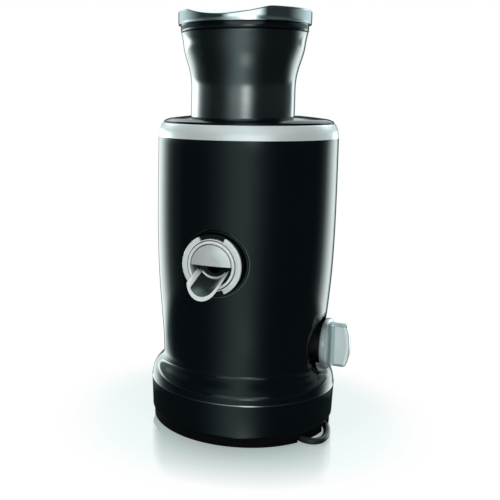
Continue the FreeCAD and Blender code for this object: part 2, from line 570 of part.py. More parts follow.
def trough():
    """Open channel with a beak, a little deeper behind the bead at its root."""
    arc = Part.Arc(V(-TROUGH_HALF, 0, 0), V(0, 0, -TROUGH_DEPTH), V(TROUGH_HALF, 0, 0)).toShape()
    reach = (TROUGH_TIP - BARREL_FACE) / math.cos(math.radians(TROUGH_SLOPE))
    bar = trough_bar([arc, line((TROUGH_HALF, 0), (-TROUGH_HALF, 0))], -20, reach + 30)
    bar = bar.cut(trough_bar(trough_floor(0), 1.8, reach + 40))
    bar = bar.cut(trough_bar(trough_floor(ROOT_BEAD), -30, 1.9))
    end = Part.makePolygon([V(0, -reach, 2), V(0, -reach, 0),
                            V(0, -reach - TROUGH_BEAK, -TROUGH_DEPTH),
                            V(0, -reach - TROUGH_BEAK - 3, -TROUGH_DEPTH - 4),
                            V(0, -reach - 70, -TROUGH_DEPTH - 4), V(0, -reach - 70, 2),
                            V(0, -reach, 2)])
    cutter = Part.Face(end).extrude(V(80, 0, 0))
    cutter.translate(V(-40, 0, 0))
    cutter.rotate(V(0, 0, 0), V(1, 0, 0), TROUGH_SLOPE)
    cutter.translate(V(0, -BARREL_FACE, TROUGH_RIM_Z))
    return bar.cut(cutter).cut(box(-40, 40, -BARREL_FACE, 0, 100, 250))


def spout():
    """Hood over the outlet and the open trough below it, joined by two cheeks."""
    front = RING_FACE - 0.8
    hood = turned([(0, BARREL_FACE), (HOOD_R, BARREL_FACE), (HOOD_R, front),
                   (HOOD_R * 0.5, front + 0.75 * HOOD_CROWN), (0, front + HOOD_CROWN)])
    inside = cyl(HOOD_R - HOOD_T, BARREL_FACE - 1, front - HOOD_T)
    hood = to_front(hood.cut(inside), SPOUT_Z)
    hood = hood.common(box(-2 * HOOD_R, 2 * HOOD_R, -OUTSIDE, 0, SPOUT_Z, SPOUT_Z + 2 * HOOD_R))
    face, thick = -BARREL_FACE, 3.0
    cheeks = []
    for sign in (-1, 1):
        x = sorted([sign * (TROUGH_HALF - 2.2), sign * TROUGH_HALF])
        cheeks.append(box(x[0], x[1], face - thick, face, TROUGH_RIM_Z - 3, SPOUT_Z + 4))
        x = sorted([sign * (TROUGH_HALF - 2.2), sign * HOOD_R])
        cheeks.append(box(x[0], x[1], face - thick, face, SPOUT_Z + 0.4, SPOUT_Z + 3))
    within = to_front(cyl(HOOD_R - 0.2, BARREL_FACE - 10, RING_FACE + 10), SPOUT_Z)
    return fused([hood, trough()] + [cheek.common(within) for cheek in cheeks])


def spout_seal():
    """Rubber face seal between the bowl's outlet and the spout's tail."""
    body = ring(TAIL_R - 2, TAIL_BORE, PIPE_FACE, TAIL_END - GAP)
    return to_front(body, SPOUT_Z)


# ================================================================ knob and switch
def knob_pocket():
    """Black recess for the knob, with a hole for its spindle."""
    cup = to_side(cyl(KNOB_POCKET_R, KNOB_FLOOR, OUTSIDE), KNOB_Z).common(body_core(SKIN_GAP))
    inner = KNOB_POCKET_R - POCKET_WALL
    cup = cup.cut(to_side(cyl(inner, KNOB_FLOOR + 2, OUTSIDE), KNOB_Z))
    return cup.cut(to_side(cyl(SPINDLE_R + RUN_FIT, KNOB_FLOOR - 5, OUTSIDE), KNOB_Z))


def knob_spindle():
    """Steel spindle from the knob into the rotary switch."""
    low = KNOB_FLOOR - SWITCH_DEPTH + 4
    return to_side(cyl(SPINDLE_R, low, KNOB_FLOOR + 2 + GAP), KNOB_Z)


def knob_hub():
    """Black hub between the recess and the disc."""
    return to_side(cyl(HUB_R, KNOB_FLOOR + 2 + GAP, KNOB_BACK), KNOB_Z)


def knob():
    """Silver disc with a tall grip bar, a little bowed at its outer edge."""
    disc = turned([(0, KNOB_BACK), (KNOB_R - 1.5, KNOB_BACK), (KNOB_R, KNOB_BACK + 1.5),
                   (KNOB_R, KNOB_FACE - 1.2), (KNOB_R - 1.0, KNOB_FACE),
                   (KNOB_R * 0.5, KNOB_FACE + 0.7 * KNOB_CROWN), (0, KNOB_FACE + KNOB_CROWN)])
    disc = to_side(disc, KNOB_Z)
    half = GRIP_LEN / 2
    low, high = KNOB_Z - half, KNOB_Z + half
    bow = Part.Arc(V(GRIP_END_OUT, 0, low), V(GRIP_OUT, 0, KNOB_Z),
                   V(GRIP_END_OUT, 0, high)).toShape()
    root = KNOB_FACE - 1
    side = Part.Wire([bow, Part.LineSegment(V(GRIP_END_OUT, 0, high), V(root, 0, high)).toShape(),
                      Part.LineSegment(V(root, 0, high), V(root, 0, low)).toShape(),
                      Part.LineSegment(V(root, 0, low), V(GRIP_END_OUT, 0, low)).toShape()])
    bar = Part.Face(side).extrude(V(0, GRIP_W, 0))
    bar.translate(V(0, -GRIP_W / 2, 0))
    corners = [e for e in bar.Edges if e.BoundBox.XMin > root + 1 and e.BoundBox.ZLength < 1]
    bar = bar.makeFillet(GRIP_EDGE, corners)
    bow_r = (half * half + GRIP_BOW * GRIP_BOW) / (2 * GRIP_BOW)
    wheel = Part.makeCylinder(bow_r, GRIP_W, V(GRIP_OUT - bow_r, -GRIP_W / 2, KNOB_Z), V(0, 1, 0))
    rims = [e for e in wheel.Edges if e.BoundBox.YLength < 0.01]
    wheel = wheel.makeFillet(GRIP_EDGE, rims)
    stem = box(root - 1, GRIP_END_OUT - GRIP_EDGE, -GRIP_W, GRIP_W, low - 1, high + 1)
    bar = bar.common(wheel.fuse(stem))
    flare = Part.Face(Part.makePolygon([V(root, -GRIP_ROOT_W / 2, 0), V(root, GRIP_ROOT_W / 2, 0),
                                        V(root + 2.5, GRIP_W / 2 + 1.2, 0),
                                        V(root + 8, GRIP_W / 2 - 0.5, 0),
                                        V(root + 8, -GRIP_W / 2 + 0.5, 0),
                                        V(root + 2.5, -GRIP_W / 2 - 1.2, 0),
                                        V(root, -GRIP_ROOT_W / 2, 0)]))
    flare = flare.extrude(V(0, 0, GRIP_LEN - 1))
    flare.translate(V(0, 0, low + 0.5))
    return fused([disc, bar, flare])


def rotary_switch():
    """Switch block behind the recess, with the spindle's hole."""
    half = SWITCH_SIDE / 2
    block = box(KNOB_FLOOR - SWITCH_DEPTH, KNOB_FLOOR, -half, half, KNOB_Z - half, KNOB_Z + half)
    block = block.cut(to_side(cyl(SPINDLE_R + GAP, KNOB_FLOOR - SWITCH_DEPTH + 3, OUTSIDE), KNOB_Z))
    lugs = [box(KNOB_FLOOR - SWITCH_DEPTH - 6, KNOB_FLOOR - SWITCH_DEPTH + 1, y, y + 6,
                KNOB_Z - 6, KNOB_Z + 6) for y in (-14.0, -3.0, 8.0)]
    return fused([block] + lugs)


# ================================================================ motor and carrier
def inner_deck():
    """Chassis: deck on the casing's ledge, four legs down to the plate, neck up the middle."""
    deck = cyl(LEDGE_IN_R + 4.4, DECK_Z, DECK_Z + DECK_T)
    parts = [deck, cyl(NECK_R, DECK_Z, NECK_TOP)]
    parts += [cyl(LEG_R, PLATE_TOP, DECK_Z + 1, x, y) for x, y in leg_places()]
    body = fused(parts).cut(cyl(NECK_BORE, DECK_Z - 1, NECK_TOP + 1))
    for x, y in leg_places():
        body = body.cut(cyl(SCREW_R, PLATE_TOP - 1, PLATE_TOP + SCREW_DEPTH + 1, x, y))
    return body


def bolt_places(radius, first=45.0):
    """Four places about the axis."""
    return [(radius * math.cos(math.radians(first + 90 * i)),
             radius * math.sin(math.radians(first + 90 * i))) for i in range(4)]


def motor_mounts():
    """Rubber blocks between the motor and the deck."""
    return Part.makeCompound([cyl(MOUNT_R, FRAME_TOP_Z, DECK_Z, x, y)
                              for x, y in bolt_places(MOUNT_AT, 0)])


def motor_frame(plate0, plate1, skirt0, skirt1, boss0, boss1, seat0, seat1):
    """End bracket of the motor: plate, open skirt, bearing boss and bolt holes."""
    body = fused([cyl(FRAME_R, plate0, plate1), ring(FRAME_R, FRAME_IN_R, skirt0, skirt1),
                  cyl(BEARING_R + 3.5, boss0, boss1)])
    for window in round_about(box(0, 60, -14, 14, min(skirt0, skirt1), max(skirt0, skirt1)), 4):
        body = body.cut(window.cut(cyl(FRAME_IN_R - 2, 0, 300)))
    body = body.cut(cyl(BEARING_R + 0.02, seat0, seat1))
    body = body.cut(cyl(SHAFT_R + 2, 0, 300))
    for x, y in bolt_places(BOLT_AT):
        body = body.cut(cyl(BOLT_R + GAP, 0, 300, x, y))
    return body


def motor_frame_bottom():
    """Lower bracket."""
    low = FRAME_LOW_Z - 6
    return motor_frame(FRAME_LOW_Z, FRAME_LOW_TOP, FRAME_LOW_TOP, STATOR_LOW,
                       low, FRAME_LOW_Z + 1, low - 1, low + BEARING_H)


def motor_frame_top():
    """Upper bracket."""
    return motor_frame(FRAME_TOP_LOW, FRAME_TOP_Z, STATOR_TOP, FRAME_TOP_LOW,
                       FRAME_TOP_LOW - 4, FRAME_TOP_LOW + 1, FRAME_TOP_Z - BEARING_H, 300)


def lower_bearing():
    """Ball bearing of the lower bracket."""
    return ring(BEARING_R, SHAFT_R + 0.03, FRAME_LOW_Z - 6, FRAME_LOW_Z - 6 + BEARING_H)


def upper_bearing():
    """Ball bearing of the upper bracket."""
    return ring(BEARING_R, SHAFT_R + 0.03, FRAME_TOP_Z - BEARING_H, FRAME_TOP_Z)


def tie_bolts():
    """Long bolts that hold the two brackets on the stator."""
    bolts = []
    for x, y in bolt_places(BOLT_AT):
        bolts.append(fused([cyl(BOLT_R, FRAME_LOW_Z - 1, FRAME_TOP_Z + 1, x, y),
                            cyl(BOLT_HEAD_R, FRAME_LOW_Z - BOLT_HEAD_H, FRAME_LOW_Z, x, y),
                            cyl(BOLT_HEAD_R, FRAME_TOP_Z, FRAME_TOP_Z + BOLT_HEAD_H, x, y)]))
    return Part.makeCompound(bolts)


def motor_stator():
    """Steel ring of plates with holes for the bolts."""
    body = ring(FRAME_R, STATOR_BORE, STATOR_LOW, STATOR_TOP)
    for x, y in bolt_places(BOLT_AT):
        body = body.cut(cyl(BOLT_R + GAP, STATOR_LOW - 1, STATOR_TOP + 1, x, y))
    return body


def motor_windings():
    """Copper coil ends above and below the stator."""
    return Part.makeCompound([
        ring(COIL_R, COIL_IN_R, STATOR_LOW - COIL_H, STATOR_LOW),
        ring(COIL_R, COIL_IN_R, STATOR_TOP, STATOR_TOP + COIL_H)])


def brush_holders():
    """Two boxes that hang under the upper bracket, open towards the commutator."""
    z0, z1 = COMM_LOW + 1, FRAME_TOP_LOW
    mid = COMM_LOW + COMM_H / 2
    outer = box(COMM_R + 3, COMM_R + 3 + BRUSH_L, -BRUSH_W / 2 - 2, BRUSH_W / 2 + 2, z0, z1)
    slot = box(0, COMM_R + 1 + BRUSH_L, -BRUSH_W / 2 - 0.05, BRUSH_W / 2 + 0.05,
               mid - 3.05, mid + 3.05)
    return Part.makeCompound(round_about(outer.cut(slot), 2))


def brushes():
    """Two carbon blocks just clear of the commutator."""
    mid = COMM_LOW + COMM_H / 2
    block = box(COMM_R - 2, COMM_R + BRUSH_L, -BRUSH_W / 2, BRUSH_W / 2, mid - 3, mid + 3)
    return Part.makeCompound(round_about(block.cut(cyl(COMM_R + 0.15, 0, 300)), 2))


def motor_shaft():
    """Shaft from the lower bearing up to the drive coupling."""
    return cyl(SHAFT_R, SHAFT_LOW, SHAFT_TOP)


def rotor_core():
    """Slotted steel core on the shaft."""
    core = ring(ROTOR_R, SHAFT_R, STATOR_LOW, STATOR_TOP)
    for slot in round_about(box(ROTOR_R - 3, ROTOR_R + 1, -0.9, 0.9, 0, 300), 14):
        core = core.cut(slot)
    return core


def commutator():
    """Copper drum on the shaft."""
    return ring(COMM_R, SHAFT_R, COMM_LOW, COMM_LOW + COMM_H)


def cooling_fan():
    """Hub, disc and blades under the rotor, inside the lower bracket."""
    blade = box(10, FAN_R - 0.5, -0.8, 0.8, FAN_LOW + 1, FAN_LOW + FAN_H)
    blade.rotate(V(20, 0, 0), V(0, 0, 1), 18)
    parts = [cyl(FAN_R, FAN_LOW, FAN_LOW + 1.5), cyl(11, FAN_LOW, FAN_LOW + FAN_H)]
    body = fused(parts + round_about(blade, FAN_BLADES))
    return body.cut(cyl(SHAFT_R, 0, 300))


def neck_bush():
    """Bronze bush that steadies the shaft in the neck."""
    return ring(NECK_BORE - 0.02, SHAFT_R + 0.03, BUSH_Z, SEAL_Z)


def shaft_seal():
    """Rubber lip seal at the top of the neck."""
    return ring(NECK_BORE - 0.02, SHAFT_R + RUN_FIT, SEAL_Z, NECK_TOP)


def hexagon(radius, z0, z1):
    """Six-sided bar, radius to its corners."""
    corners = [V(radius * math.cos(math.radians(60 * i)), radius * math.sin(math.radians(60 * i)),
                 z0) for i in range(7)]
    return Part.Face(Part.makePolygon(corners)).extrude(V(0, 0, z1 - z0))


def drive_coupling():
    """Six-sided dog on the shaft."""
    body = hexagon(COUPLING_R, COUPLING_LOW, COUPLING_LOW + COUPLING_H)
    return body.cut(cyl(SHAFT_R, COUPLING_LOW - 1, COUPLING_LOW + COUPLING_H + 1))


# ================================================================ juice path
def pulp_container():
    """Lift-out tub with a middle tube over the neck and a flute for the juice pipe."""
    outer = cyl(TUB_R, TUB_LOW, TUB_TOP)
    tube_r = TUB_TUBE_IN + TUB_TUBE_T
    cavity = cyl(TUB_R - TUB_WALL, TUB_LOW + TUB_WALL, TUB_TOP + 1)
    cavity = cavity.cut(cyl(tube_r, TUB_LOW, BOWL_FLOOR_Z))
    half = FLUTE_HALF + TUB_WALL
    inner_y = -(PIPE_AT - PIPE_R - PIPE_STEP - SLIDE_GAP)
    mouth_y = -(PIPE_FACE + SLIDE_GAP)
    top = BOWL_FLOOR_Z - SLIDE_GAP
    keep = box(-half, half, -TUB_R - 5, inner_y + TUB_WALL, TUB_LOW, top)
    body = outer.cut(cavity.cut(keep))
    body = body.cut(box(-FLUTE_HALF, FLUTE_HALF, mouth_y, inner_y, TUB_LOW - 1, top + 1))
    body = body.cut(box(-FLUTE_HALF, FLUTE_HALF, -TUB_R - 5, mouth_y + 1, TUB_LOW - 1,
                        top - TUB_WALL))
    return body.cut(cyl(TUB_TUBE_IN, TUB_LOW - 1, BOWL_FLOOR_Z + 60))


def juice_bowl():
    """Bowl round the basket: it stands on the tub's tube and drains to the spout."""
    floor_top = BOWL_FLOOR_Z + BOWL_FLOOR_T
    inner_r = BOWL_TUBE_R - BOWL_WALL
    body = fused([ring(BOWL_R, inner_r, BOWL_FLOOR_Z, floor_top),
                  ring(BOWL_R, BOWL_R - BOWL_WALL, BOWL_FLOOR_Z, BOWL_TOP),
                  ring(BOWL_TUBE_R, inner_r, BOWL_FLOOR_Z, BOWL_TUBE_TOP),
                  cyl(PIPE_R + PIPE_STEP, PIPE_LOW, floor_top, 0, -PIPE_AT),
                  to_front(cyl(PIPE_R, PIPE_AT - 2, PIPE_FACE), SPOUT_Z)])
    drain = cyl(TAIL_BORE + PIPE_STEP, SPOUT_Z - 6, floor_top + 1, 0, -PIPE_AT)
    nozzle = to_front(cyl(TAIL_BORE, PIPE_AT - 3, PIPE_FACE + 1), SPOUT_Z)
    return body.cut(drain.fuse(nozzle))


def sieve_basket():
    """Steep basket with a flat floor and a lip over the bowl's rim."""
    z0, z1 = BASKET_FLOOR_Z, BASKET_TOP_Z
    floor_top = z0 + BASKET_FLOOR_T
    body = turned([(HUB_SOCKET_R, z0), (BASKET_FLOOR_R, z0), (BASKET_TOP_R, z1),
                   (BASKET_LIP_R, z1), (BASKET_LIP_R, z1 + BASKET_LIP_T),
                   (BASKET_TOP_R - BASKET_T, z1 + BASKET_LIP_T),
                   (BASKET_FLOOR_R - BASKET_T, floor_top), (HUB_SOCKET_R, floor_top)])
    skirt = ring(HUB_SKIRT_R, HUB_SKIRT_R - HUB_SKIRT_T, BOWL_FLOOR_Z + BOWL_FLOOR_T + 4, z0 + 1)
    return fused([body, skirt])


def basket_hub():
    """Moulded hub in the basket's floor with the socket for the drive dog."""
    low = COUPLING_LOW + 2
    top = BASKET_FLOOR_Z + BASKET_FLOOR_T
    hub = cyl(HUB_SOCKET_R, low, top)
    socket = hexagon(COUPLING_R + GAP, low - 1, COUPLING_LOW + COUPLING_H + GAP)
    return hub.cut(socket).cut(cyl(SHAFT_R + GAP, low, SHAFT_TOP + GAP))


def grater_disc():
    """Disc with rows of teeth on the basket's floor."""
    z0 = BASKET_FLOOR_Z + BASKET_FLOOR_T
    disc = cyl(GRATER_R, z0, z0 + GRATER_T)
    tooth = Part.makeCone(1.5, 0.4, GRATER_TOOTH + 0.4, V(0, 0, z0 + GRATER_T - 0.4))
    teeth = []
    for i, r in enumerate((12.0, 20.0, 28.0, 36.0, 44.0, 51.0)):
        one = tooth.copy()
        one.translate(V(r, 0, 0))
        teeth += round_about(one, GRATER_ROWS, 9.0 * i)
    return fused([disc] + teeth)


# ================================================================ electrics and lead
def control_board():
    """Circuit board with its larger parts."""
    x0, y0 = -BOARD_L / 2, -BOARD_W / 2
    top = BOARD_Z + BOARD_T
    board = box(x0, -x0, y0, -y0, BOARD_Z, top)
    return fused([board, box(-24, -8, -12, 4, top, top + 12), box(2, 24, -14, -4, top, top + 9),
                  cyl(5, top, top + 15, 12, 8)])


def rounded_path(points):
    """Wire of straight runs and tangent arcs along a route, and the arcs' radii."""
    pts = [V(*p) for p in points]
    edges, radii, here = [], [], pts[0]
    for a, b, c in zip(pts, pts[1:], pts[2:]):
        u, w = (b - a).normalize(), (c - b).normalize()
        half_turn = u.getAngle(w) / 2
        back = 0.45 * min((b - a).Length, (c - b).Length)
        radius = back / math.tan(half_turn)
        start, end = b - u * back, b + w * back
        bisector = (w - u).normalize()
        middle = b + bisector * (radius / math.cos(half_turn) - radius)
        edges.append(Part.LineSegment(here, start).toShape())
        edges.append(Part.Arc(start, middle, end).toShape())
        here = end
        radii.append(radius)
    edges.append(Part.LineSegment(here, pts[-1]).toShape())
    return Part.Wire(edges), radii


def lead_tube(points, name):
    """Round lead along a route; prints its bend radii and compares its volume."""
    path, radii = rounded_path(points)
    start = V(*points[0])
    along = (V(*points[1]) - start).normalize()
    circle = Part.Wire(Part.makeCircle(CORD_R, start, along))
    tube = path.makePipeShell([circle], True, True)
    expected = math.pi * CORD_R ** 2 * path.Length
    print(name, "length %.1f" % path.Length, "volume ratio %.5f" % (tube.Volume / expected),
          "radii", [round(r, 1) for r in radii])
    return tube


def cord_tube():
    """The lead from its boot, out past the foot, back under the base and to the coil."""
    return lead_tube(CORD_ROUTE, "cord_tube")


def cord_tail():
    """Short end of the lead between the coil and the plug."""
    return lead_tube(TAIL_ROUTE, "cord_tail")


def cord_coil():
    """Outer form of the wound lead."""
    x, y = COIL_AT
    body = ring(COIL_MID_R + COIL_HALF_W, COIL_MID_R - COIL_HALF_W, 0.1, CORD_COIL_H + 0.1, x, y)
    rims = [e for e in body.Edges if e.BoundBox.ZMax - e.BoundBox.ZMin < 0.01]
    return body.makeFillet(CORD_R - 0.2, rims)


def cord_tie():
    """Strap round the bundle at the coil's far side."""
    x, y = COIL_AT
    w, h, t = COIL_HALF_W, CORD_COIL_H, TIE_T
    hoop = box(-TIE_W / 2, TIE_W / 2, COIL_MID_R - w - t, COIL_MID_R + w + t, 0.02, h + t + 0.1)
    hoop = hoop.cut(ring(COIL_MID_R + w + 0.05, COIL_MID_R - w - 0.05, -1, h + 0.15))
    hoop.translate(V(x, y, 0))
    return hoop


def strain_relief():
    """Tapered rubber boot where the lead leaves the base."""
    root = V(GLAND_ROOT[0], GLAND_ROOT[1], GLAND_Z)
    end = V(GLAND_END[0], GLAND_END[1], GLAND_Z)
    along = end - root
    return Part.makeCone(GLAND_ROOT_R, GLAND_END_R, along.Length, root, along)


def plug():
    """Flat two-pin plug body with its boot."""
    y1 = PLUG_Y - PLUG_BOOT_L
    boot = Part.makeCone(CORD_R + 0.4, PLUG_T / 2 - 1.2, PLUG_BOOT_L + 4,
                         V(PLUG_X, PLUG_Y, PLUG_Z), V(0, -1, 0))
    w, t = PLUG_W / 2, PLUG_T / 2
    outline = [V(-6, y1, 0), V(6, y1, 0), V(w, y1 - 14, 0), V(w - 3, y1 - PLUG_L, 0),
               V(-w + 3, y1 - PLUG_L, 0), V(-w, y1 - 14, 0), V(-6, y1, 0)]
    body = Part.Face(Part.makePolygon(outline)).extrude(V(0, 0, PLUG_T))
    body = body.makeFillet(2.0, body.Edges)
    body.translate(V(PLUG_X, 0, PLUG_Z - t + 0.05))
    return fused([body, boot])


def plug_pins():
    """Two round pins."""
    y = PLUG_Y - PLUG_BOOT_L - PLUG_L
    return Part.makeCompound([
        Part.makeCylinder(PIN_R, PIN_L, V(PLUG_X + s * PIN_GAP / 2, y, PLUG_Z), V(0, -1, 0))
        for s in (-1, 1)])


NODES = [foot_ring, base_plate, base_screws, body_shell, collar_ring, lock_ring, interlock_rod,
         interlock_switch, lid, lid_gasket, feed_tube, feed_chute, pusher_body, pusher_flange,
         pusher_cap, spout_pocket, spout_barrel, spout_bezel, spout_collar, spout, spout_seal,
         knob_pocket, knob_spindle, knob_hub, knob, rotary_switch, inner_deck, motor_mounts,
         motor_frame_bottom, motor_frame_top, lower_bearing, upper_bearing, tie_bolts,
         motor_stator, motor_windings, brush_holders, brushes, motor_shaft, rotor_core,
         commutator, cooling_fan, neck_bush, shaft_seal, drive_coupling, pulp_container,
         juice_bowl, sieve_basket, basket_hub, grater_disc, control_board, cord_tube, cord_tail,
         cord_coil, cord_tie, strain_relief, plug, plug_pins]

os.makedirs("parts", exist_ok=True)
for make in NODES:
    shape = make()
    solids = len(shape.Solids)
    box_ = shape.BoundBox
    print("%-20s solids %d valid %s volume %.0f  z %.2f..%.2f" % (
        make.__name__, solids, shape.isValid(), shape.Volume, box_.ZMin, box_.ZMax))
    shape.exportStep("parts/%s.step" % make.__name__)
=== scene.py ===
"""Slim upright juicer: the looks of every piece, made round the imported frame."""
import json
import logging
import math
from dataclasses import dataclass, field, replace
from enum import Enum
from typing import Callable, Iterable, Sequence

import bmesh
import bpy
import numpy as np
from mathutils import Matrix, Vector


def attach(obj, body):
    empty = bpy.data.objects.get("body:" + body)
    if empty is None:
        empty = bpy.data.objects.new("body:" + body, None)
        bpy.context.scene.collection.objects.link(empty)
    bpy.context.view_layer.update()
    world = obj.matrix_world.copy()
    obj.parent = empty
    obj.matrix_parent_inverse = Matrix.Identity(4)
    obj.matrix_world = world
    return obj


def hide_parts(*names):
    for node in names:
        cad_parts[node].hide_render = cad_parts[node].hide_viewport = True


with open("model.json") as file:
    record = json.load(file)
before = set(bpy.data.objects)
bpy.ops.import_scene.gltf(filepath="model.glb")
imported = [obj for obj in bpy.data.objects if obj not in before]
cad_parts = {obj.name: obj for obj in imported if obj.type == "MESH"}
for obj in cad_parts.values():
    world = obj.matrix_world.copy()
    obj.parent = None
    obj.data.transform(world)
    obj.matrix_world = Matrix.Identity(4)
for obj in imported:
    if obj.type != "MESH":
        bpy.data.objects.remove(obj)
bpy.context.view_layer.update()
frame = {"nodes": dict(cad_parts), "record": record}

LOG = logging.getLogger("juicer")
MM = 0.001
TAU = 2.0 * math.pi
POLE_R = 1e-6
Point = tuple[float, float, float]
Span = tuple[float, float]
Plateau = tuple[Span, Span]
Colour = tuple[float, float, float, float]
Outline = list[Span]
Socket = bpy.types.NodeSocket


# ---- geometry helpers
def spokes(count: int) -> list[float]:
    """Angles evenly spaced round a circle, in radians."""
    return [TAU * k / count for k in range(count)]


def ramp(value: float, start: float, end: float) -> float:
    """Smooth step from 0 to 1 between two values."""
    share = min(1.0, max(0.0, (value - start) / (end - start)))
    return share * share * (3 - 2 * share)


def plateau(value: float, rise: Span, fall: Span) -> float:
    """Smooth step up over the first range and down again over the second."""
    return ramp(value, *rise) * (1 - ramp(value, *fall))


def bell(value: float, middle: float, width: float) -> float:
    """Bell curve of height one."""
    return math.exp(-((value - middle) / width) ** 2 / 2)


def placed(name: str, data: bpy.types.ID) -> bpy.types.Object:
    """Put an object into the scene.

    Args:
        name: the object's name.
        data: what it shows.

    Returns:
        The object, at the origin.
    """
    made = bpy.data.objects.new(name, data)
    bpy.context.scene.collection.objects.link(made)
    return made


class Facing(Enum):
    """Which way the axis of a turned piece points."""

    UP = "up"
    FRONT = "front"
    SIDE = "side"


@dataclass(frozen=True)
class Axis:
    """A line that pieces are turned about, in millimetres."""

    facing: Facing = Facing.UP
    y: float = 0.0
    z: float = 0.0

    def at(self, radius: float, angle: float, along: float) -> Point:
        """Place a point beside the axis.

        Args:
            radius: distance from the axis.
            angle: turn about the axis, in radians.
            along: distance along the axis.

        Returns:
            The point in the frame of the whole juicer.
        """
        a, b = radius * math.cos(angle), radius * math.sin(angle)
        if self.facing is Facing.UP:
            return (a, self.y + b, along)
        if self.facing is Facing.FRONT:
            return (a, -along, self.z + b)
        return (along, self.y + a, self.z + b)

    def ring(self, radius: float, along: float, count: int) -> list[Point]:
        """Circle of points about the axis."""
        return [self.at(radius, angle, along) for angle in spokes(count)]


def rounded(corners: Sequence[Sequence[float]], steps: int = 5, ring: bool = False) -> Outline:
    """Round the corners of an outline.

    Args:
        corners: points as (radius, height) or (radius, height, rounding).
        steps: straight pieces in each rounded corner.
        ring: whether the outline closes on itself.

    Returns:
        The outline's points.
    """
    count, out = len(corners), []
    for i, corner in enumerate(corners):
        here = Vector(corner[:2])
        size = corner[2] if len(corner) > 2 else 0.0
        if size <= 0 or (not ring and i in (0, count - 1)):
            out.append((here.x, here.y))
            continue
        to_last = Vector(corners[i - 1][:2]) - here
        to_next = Vector(corners[(i + 1) % count][:2]) - here
        half = to_last.angle(to_next) / 2
        back = min(size / math.tan(half), 0.49 * to_last.length, 0.49 * to_next.length)
        size = back * math.tan(half)
        u, v = to_last.normalized(), to_next.normalized()
        middle = here + (u + v).normalized() * (size / math.sin(half))
        first, last = here + u * back - middle, here + v * back - middle
        turn = math.atan2(first.x * last.y - first.y * last.x, first.dot(last))
        for k in range(steps + 1):
            c, s = math.cos(turn * k / steps), math.sin(turn * k / steps)
            out.append((middle.x + first.x * c - first.y * s,
                        middle.y + first.x * s + first.y * c))
    return out


def smooth_line(points: Outline, start: Span | None = None, end: Span | None = None,
                steps: int = 8) -> Outline:
    """Cubic spline through points, even in its curvature.

    Args:
        points: the points that the line passes.
        start: direction at the first point, or None where it is free.
        end: direction at the last point, or None where it is free.
        steps: straight pieces between two points.

    Returns:
        The line's points.
    """
    p = np.array(points, float)
    gaps = np.hypot(*np.diff(p, axis=0).T)
    n = len(p)
    a, rhs = np.zeros((n, n)), np.zeros((n, 2))
    for i in range(1, n - 1):
        a[i, i - 1:i + 2] = gaps[i], 2 * (gaps[i - 1] + gaps[i]), gaps[i - 1]
        rhs[i] = 3 * (gaps[i] * (p[i] - p[i - 1]) / gaps[i - 1]
                      + gaps[i - 1] * (p[i + 1] - p[i]) / gaps[i])
    for row, known, near in ((0, start, 1), (n - 1, end, n - 2)):
        if known is None:
            a[row, row], a[row, near] = 2, 1
            rhs[row] = 3 * (p[max(row, near)] - p[min(row, near)]) / gaps[min(row, near)]
        else:
            a[row, row] = 1
            rhs[row] = np.array(known) / math.hypot(*known)
    slope = np.linalg.solve(a, rhs)
    out = []
    for i in range(n - 1):
        for k in range(steps):
            s = k / steps
            h = ((1 + 2 * s) * (1 - s) ** 2, s * (1 - s) ** 2,
                 s * s * (3 - 2 * s), s * s * (s - 1))
            q = (h[0] * p[i] + h[1] * gaps[i] * slope[i]
                 + h[2] * p[i + 1] + h[3] * gaps[i] * slope[i + 1])
            out.append((float(q[0]), float(q[1])))
    return out + [tuple(map(float, p[-1]))]


def soft_min(a: float, b: float, blend: float) -> float:
    """Smaller of two heights, with their crossing rounded over the blend."""
    h = max(blend - abs(a - b), 0.0) / blend
    return min(a, b) - h * h * blend / 4


